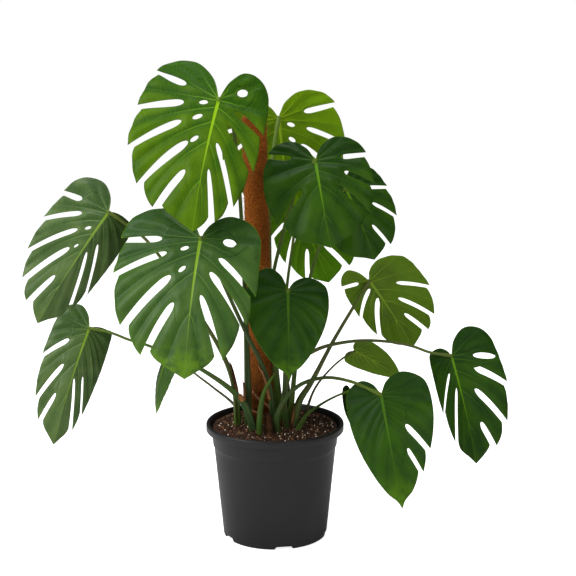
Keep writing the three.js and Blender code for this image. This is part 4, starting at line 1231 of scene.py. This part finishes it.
def make_soil():
    edge = inner_wall(SOIL_EDGE) - CLEARANCE
    below = [(SOIL_HOLE, SOIL_FOOT)]
    below += [(inner_wall(z) - CLEARANCE, z) for z in (SOIL_FOOT, COLLAR_FOOT[1], RIM_ROOT[1])]
    columns = []
    for c, s in around(SOIL_SPOKES):
        column = [(radius * c, radius * s, z) for radius, z in below]
        for radius in np.linspace(SOIL_HOLE, edge, SOIL_RINGS)[::-1]:
            x, y = radius * c, radius * s
            calm = smooth(0, CALM_EDGE, edge - radius)
            column.append((x, y, soil_height(radius) + lumps(x, y) * lerp(0.4, 1, calm)))
        columns.append(column)
    piece = Piece()
    piece.add_tube(columns)
    declare(piece.finish("potting_soil_bed", [soil_material()]), "potting_soil", "soil")


# What is scattered or grown over a surface

GRAIN_WARP = (420.0, 2.0, 0.0024)
FIBRE_WARP = (85.0, 1.0, 0.007)
FIBRE_POINTS = 7
FIBRE_SIDES = 3
FIBRE_RADIUS = 0.008
FULL_TURN = 6.28


def random_vector(nodes, low, high, seed):
    inputs = {"Min": low, "Max": high, "Seed": seed}
    return nodes.add("FunctionNodeRandomValue", inputs, data_type="FLOAT_VECTOR").outputs["Value"]


def grains(nodes, given, spread):
    """A rough little ball, and how each one is turned and scaled."""
    ball = nodes.add("GeometryNodeMeshIcoSphere", {"Radius": given["Size"], "Subdivisions": 2})
    turns = random_vector(nodes, (0, 0, 0), (FULL_TURN, FULL_TURN, FULL_TURN), given["Seed"])
    sizes = random_vector(nodes, (0.35, 0.35, 0.25), (1.5, 1.1, 0.8), given["Seed"])
    return ball.outputs["Mesh"], turns, sizes


def fibres(nodes, given, spread):
    """A thin wiry thread lying along the surface, and how each one is turned and scaled."""
    line = nodes.add("GeometryNodeCurvePrimitiveLine", {"Start": (0, 0, 0), "End": (1, 0, 0)})
    fine = nodes.add("GeometryNodeResampleCurve", {"Curve": line.outputs[0], "Count": FIBRE_POINTS})
    section = nodes.add(
        "GeometryNodeCurvePrimitiveCircle", {"Resolution": FIBRE_SIDES, "Radius": FIBRE_RADIUS})
    thread = nodes.add("GeometryNodeCurveToMesh", {
        "Curve": fine.outputs[0], "Profile Curve": section.outputs["Curve"], "Fill Caps": True})
    shares = random_vector(nodes, (0.45, 0.7, 0.7), (1.3, 1.2, 1.2), given["Seed"])
    roll = random_vector(nodes, (0, 0, -FULL_TURN / 2), (0, 0.25, FULL_TURN / 2), given["Seed"])
    turned = nodes.add("FunctionNodeRotateRotation", {
        "Rotation": spread.outputs["Rotation"], "Rotate By": roll}, rotation_space="LOCAL")
    sizes = nodes.vector("SCALE", shares, "Scale", given["Size"])
    return thread.outputs[0], turned.outputs[0], sizes


def scatter_tree(name, build, warp):
    """A geometry tree with named inputs that scatters what build makes over the mesh's faces, and
    bends each one its own way by a noise, given as scale, detail and metres."""
    inputs = dict(Geometry="Geometry", Density="Float", Size="Float", Seed="Int", Material="Material")
    nodes, given, out = node_group(name, "GeometryNodeTree", inputs, {"Geometry": "Geometry"})
    spread = nodes.add("GeometryNodeDistributePointsOnFaces", {
        "Mesh": given["Geometry"], "Density": given["Density"], "Seed": given["Seed"]})
    shape, turns, sizes = build(nodes, given, spread)
    placed = nodes.add("GeometryNodeInstanceOnPoints", {
        "Points": spread.outputs["Points"], "Instance": shape, "Rotation": turns, "Scale": sizes})
    real = nodes.add("GeometryNodeRealizeInstances", {"Geometry": placed.outputs[0]}).outputs[0]
    where = nodes.add("GeometryNodeInputPosition").outputs[0]
    centred = nodes.vector(
        "SUBTRACT", nodes.noise(where, warp[0], warp[1], output="Color"), 1, (0.5, 0.5, 0.5))
    moved = nodes.vector("SCALE", centred, "Scale", warp[2])
    bent = nodes.add("GeometryNodeSetPosition", {"Geometry": real, "Offset": moved}).outputs[0]
    finished = nodes.add("GeometryNodeSetMaterial", {"Geometry": bent, "Material": given["Material"]})
    nodes.join(finished.outputs[0], out[0])
    return nodes.tree


def scatter(name, ground, tree, density, size, seed, material, slot):
    """A plain mesh of what the tree scatters over the ground, declared as a piece."""
    carrier = put_in_scene(name, ground)
    grower = carrier.modifiers.new("scatter", "NODES")
    grower.node_group = tree
    values = {"Density": density, "Size": size, "Seed": seed, "Material": material}
    for item in tree.interface.items_tree:
        if item.in_out == "INPUT" and item.name in values:
            grower[item.identifier] = values[item.name]
    mesh = apply_modifiers(carrier)
    mesh.polygons.foreach_set("use_smooth", [True] * len(mesh.polygons))
    declare(carrier, slot)


def ground_mesh(name, points, columns, rows, turned=False):
    """An open surface that things are scattered on."""
    piece = Piece()
    piece.add(points, grid_faces(columns, rows, closed=True, turned=turned))
    ground = piece.finish(name, [])
    mesh = ground.data
    bpy.data.objects.remove(ground)
    return mesh


# Name, number for each square metre, size in metres, seed and finish
CRUMBS = [
    ("soil_crumbs", 36000, 0.0018, 4, "soil crumb"),
    ("bark_chips", 6500, 0.0026, 9, "bark chip"),
    ("white_grains", 4200, 0.0016, 17, "pale grain"),
]
CRUMB_SPOKES, CRUMB_RINGS = 48, 14
CRUMB_REACH = (2, 109)
CRUMB_LIFT = 0.8


def make_crumbs():
    tree = scatter_tree("scattered grains", grains, GRAIN_WARP)
    points = [
        (radius * c, radius * s, soil_height(radius) + CRUMB_LIFT)
        for c, s in around(CRUMB_SPOKES) for radius in np.linspace(*CRUMB_REACH, CRUMB_RINGS)]
    for name, density, size, seed, finish in CRUMBS:
        ground = ground_mesh("crumb ground", points, CRUMB_SPOKES, CRUMB_RINGS, turned=True)
        scatter(name, ground, tree, density, size, seed, grainy_material(finish), "potting_soil")


# Coir pole

POLE_FOOT = np.array([-24, 25, 201], float)
POLE_LEAN = -0.0226
POLE_TOP = 575
SLEEVE_RADIUS = 22
SLEEVE_FOOT = -160
SLEEVE_SEGMENTS = 120
SLEEVE_ROWS = 340
SLEEVE_INSET = 0.2
SLEEVE_ROUGHNESS = 0.5
FIBRE_GROUND = 22.2
FIBRE_COLUMNS, FIBRE_ROWS = 40, 60
# Number for each square metre, length in metres and seed
FIBRES = (27000, 0.022, 5)


def on_pole(points):
    """Points from the pole's own frame, whose foot is just under the soil, to the plant's."""
    c, s = math.cos(POLE_LEAN), math.sin(POLE_LEAN)
    x, y, z = np.asarray(points, float).reshape(-1, 3).T
    return np.stack([x * c + z * s, y, z * c - x * s], -1) + POLE_FOOT


def sleeve_points():
    """The sleeve's outside, roughened, as columns of points from its foot to its top."""
    profile = [(0, z) for z in np.linspace(SLEEVE_FOOT, POLE_TOP - 4, SLEEVE_ROWS)]
    profile += [(1.2, POLE_TOP - 1.4), (4, POLE_TOP)]
    columns = []
    for x, y in around(SLEEVE_SEGMENTS):
        column = []
        for inset, z in profile:
            spot = Vector((x * 7, y * 7, z * 0.09))
            bumps = noise.noise(spot) + 0.6 * noise.noise(spot * 3.1)
            radius = SLEEVE_RADIUS - SLEEVE_INSET - inset + SLEEVE_ROUGHNESS * bumps
            column.append((x * radius, y * radius, z))
        columns.append(column)
    return columns


def make_pole():
    piece = Piece()
    columns = sleeve_points()
    piece.add_tube(on_pole(columns).reshape(len(columns), -1, 3))
    declare(piece.finish("coir_pole_sleeve", [coir_material()]), "coir_fibre", "coir_sleeve")
    spots = [
        (FIBRE_GROUND * x, FIBRE_GROUND * y, z)
        for x, y in around(FIBRE_COLUMNS) for z in np.linspace(-4, POLE_TOP - 2, FIBRE_ROWS)]
    ground = ground_mesh("fibre ground", on_pole(spots), FIBRE_COLUMNS, FIBRE_ROWS)
    tree = scatter_tree("laid fibres", fibres, FIBRE_WARP)
    scatter("coir_fibres", ground, tree, *FIBRES, grainy_material("loose fibre"), "coir_fibre")
    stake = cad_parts["pole_stake"]
    stake.data.materials.clear()
    stake.data.materials.append(grainy_material("stake wood"))


# Young and old growth

SHOOT_ROUTE = [(-28, -64, 203), (-26, -63, 250), (-18, -61, 290), (0, -60, 322)]
SHOOT_RADII = (7, 0.8)
SHOOT_TAPER = 0.6
SHOOT_STEP, SHOOT_SIDES = 2.5, 32
OLD_TAPER = 1.2
OLD_STEP, OLD_SIDES = 2, 24
# Piece, node, route, thick and thin radius, how many rings of old joints, and finish
OLD_GROWTH = [
    ("bare_old_stem", "old_stem", [(-9, -60, 203), (-10, -58, 222), (-12, -55, 240)], 7.5, 6.5, 5,
     "old bark"),
    ("upper_aerial_root", "aerial_root_upper",
     [(14, -20, 203), (6, -18, 228), (-12, -12, 247), (-30, -14, 262), (-40, -18, 276)], 3.2, 2.2, 9,
     "aerial root"),
    ("lower_aerial_root", "aerial_root_lower",
     [(-14, -16, 203), (-16, -13, 222), (-26, -16, 232), (-40, -20, 240)], 3.0, 2.0, 7,
     "aerial root"),
]


def rolled(angle, along):
    """The section of a rolled leaf, with its free edge winding round it."""
    wound = (angle - 5 * along + np.pi) % (2 * np.pi) / (2 * np.pi)
    return 0.9 + 0.2 * wound * smooth(0.2, 0.5, along)


def knobbly(rings):
    """A section with rings along it and a few flutes that wind round it."""
    def section(angle, along):
        flutes = 0.06 * np.sin(3 * angle + 9 * along) + 0.04 * np.sin(7 * angle - 15 * along)
        return 1 + 0.07 * np.cos(2 * np.pi * rings * along) + flutes
    return section


def make_growth(name, node_name, route, radii, section, step, sides, taper, slot, material):
    line = rooted_line(route, step)
    piece = Piece()
    add_stalk(piece, line, tapered(line, radii, taper), (0, -1, 0), section, sides=sides)
    declare(piece.finish(name, [material]), slot, node_name)


def make_young_and_old_growth():
    make_growth(
        "rolled_young_leaf", "young_shoot", SHOOT_ROUTE, SHOOT_RADII, rolled, SHOOT_STEP, SHOOT_SIDES,
        SHOOT_TAPER, "young_shoot", stalk_material("rolled"))
    for name, node_name, route, thick, thin, rings, finish in OLD_GROWTH:
        make_growth(
            name, node_name, route, (thick, thin), knobbly(rings), OLD_STEP, OLD_SIDES, OLD_TAPER,
            "old_bark", grainy_material(finish))


# Dry sheaths that old leaves left on the stalks

SHEATH_GAP = 0.5
SHEATH_THICKNESS = 0.45
SHEATH_LENGTH_STEPS = 26
SHEATH_ROUND_STEPS = 14
SHEATH_LOOSENESS = 1.12
SHEATH_FLARE = 1.6
SHEATH_CRINKLE = 0.5
SHEATH_RAGGEDNESS = 0.2
SHEATH_CORNER_DROP = 0.35
# Leaf, its stalk's shares at the sheath's foot and top, the turn round the stalk and the half spread
DRY_SHEATHS = [
    ("middle_left", 0.2, 0.38, -1.3, 1.1),
    ("outer_left_upper", 0.16, 0.3, 0.9, 1.0),
    ("outer_left_lower", 0.215, 0.25, 0.5, 0.7),
    ("top_left", 0.1, 0.19, -1.6, 0.9),
    ("right_turned", 0.09, 0.2, 1.4, 0.9),
]


def add_dry_sheath(piece, leaf, low, high, turn, spread):
    """A papery strip that hugs a stalk from one share of its length to another, ragged on top."""
    line = petiole_line(leaf)
    share = run_shares(line)
    normals, others = carried_frames(line, blade_axes(leaf)[2])
    thick, thin = leaf["radii"]
    points = []
    for layer in (SHEATH_GAP, SHEATH_GAP + SHEATH_THICKNESS):
        for a in np.linspace(-spread, spread, SHEATH_ROUND_STEPS):
            ragged = SHEATH_RAGGEDNESS * noise.noise(Vector((5 * a, 3.7 * turn, 1.9)))
            ragged += SHEATH_CORNER_DROP * abs(a / spread) ** 2
            for f in np.linspace(0, 1, SHEATH_LENGTH_STEPS):
                s = lerp(low, high, f * (1 - ragged))
                spot, normal, other = (
                    np.array([np.interp(s, share, values) for values in rows.T])
                    for rows in (line, normals, others))
                radius = lerp(thin, thick, (1 - s) ** STALK_TAPER) * SHEATH_LOOSENESS
                radius += layer + SHEATH_FLARE * f ** 3
                radius += SHEATH_CRINKLE * noise.noise(Vector((4 * a, 14 * f, turn)))
                outward = normal * math.cos(a + turn) + other * math.sin(a + turn)
                points.append(spot + radius * outward)
    inner = grid_faces(SHEATH_ROUND_STEPS, SHEATH_LENGTH_STEPS)
    outer, rim = shell_faces(inner, open_edges(inner), SHEATH_ROUND_STEPS * SHEATH_LENGTH_STEPS)
    piece.add(points, inner + outer + rim)


def make_dry_sheaths():
    piece = Piece()
    for where, *sizes in DRY_SHEATHS:
        add_dry_sheath(piece, next(leaf for leaf in LEAVES if leaf["where"] == where), *sizes)
    declare(piece.finish("dry_sheaths", [grainy_material("dry sheath")]), "old_bark")


# Floor, light and camera

FLOOR_REACH = 6000
FLOOR_DROP = -0.0005
FLOOR_GLOW = 0.8
SKY_FILL = 0.24
SKY_MIRRORED = 0.15
LIGHT_AIM = (0, 0, 0.45)
# Name, place and size in metres, and power in watts
SOFTBOXES = [
    ("left softbox", (-2.0, -1.2, 1.7), (1.3, 1.3), 62),
    ("right softbox", (1.3, -2.2, 1.3), (0.9, 1.2), 16),
    ("top softbox", (-0.2, 0.1, 2.6), (1.6, 1.6), 38),
]
CAMERA_PLACE = (0.0241, -2.4964, 0.9747)
CAMERA_TILT = 78.5
CAMERA_LENS = 87.5
CAMERA_SENSOR = 36


def make_stage():
    piece = Piece()
    corners = [(x * FLOOR_REACH, y * FLOOR_REACH, 0) for x, y in ((-1, -1), (1, -1), (1, 1), (-1, 1))]
    piece.add(corners, [(0, 1, 2, 3)])
    material, nodes, shader = new_material("pale floor", 0.0)
    cloud = nodes.noise(nodes.place(), 0.7, 2.0)
    seen = nodes.add("ShaderNodeLightPath").outputs["Is Camera Ray"]
    for socket, value in {
        "Base Color": nodes.blended(cloud, (0.86, 0.86, 0.86), (0.9, 0.9, 0.9)), "Roughness": 0.95,
        "Emission Color": (1, 1, 1), "Emission Strength": nodes.times(seen, FLOOR_GLOW),
    }.items():
        nodes.join(value, shader.inputs[socket])
    floor = piece.finish("floor", [material])
    floor.location.z = FLOOR_DROP


def make_world():
    """An even white studio, which glossy surfaces mirror less brightly than it lights them."""
    world = bpy.data.worlds.new("studio")
    world.use_nodes = True
    nodes = Nodes(world.node_tree)
    sky = world.node_tree.nodes["Background"].inputs
    path = nodes.add("ShaderNodeLightPath").outputs
    strength = nodes.scaled(path["Is Camera Ray"], 1 - SKY_FILL, SKY_FILL)
    mirrored = nodes.times(path["Is Glossy Ray"], SKY_FILL - SKY_MIRRORED)
    nodes.join((1, 1, 1), sky["Color"])
    nodes.join(nodes.maths("SUBTRACT", strength, mirrored), sky["Strength"])
    bpy.context.scene.world = world
    bpy.context.scene.view_settings.view_transform = "Standard"


def make_softboxes():
    for name, place, size, power in SOFTBOXES:
        light = bpy.data.lights.new(name, "AREA")
        light.shape = "RECTANGLE"
        light.size, light.size_y = size
        light.energy = power
        made = put_in_scene(name, light)
        made.location = place
        towards = Vector(LIGHT_AIM) - made.location
        made.rotation_euler = towards.to_track_quat("-Z", "Y").to_euler()


def make_camera():
    camera = bpy.data.cameras.new("camera")
    camera.lens = CAMERA_LENS
    camera.sensor_width = CAMERA_SENSOR
    made = put_in_scene("camera", camera)
    made.location = CAMERA_PLACE
    made.rotation_euler = (math.radians(CAMERA_TILT), 0, 0)
    bpy.context.scene.camera = made


make_camera()
for leaf in LEAVES:
    make_leaf(leaf)
make_pot()
make_soil()
make_crumbs()
make_pole()
make_young_and_old_growth()
make_dry_sheaths()
make_stage()
make_world()
make_softboxes()
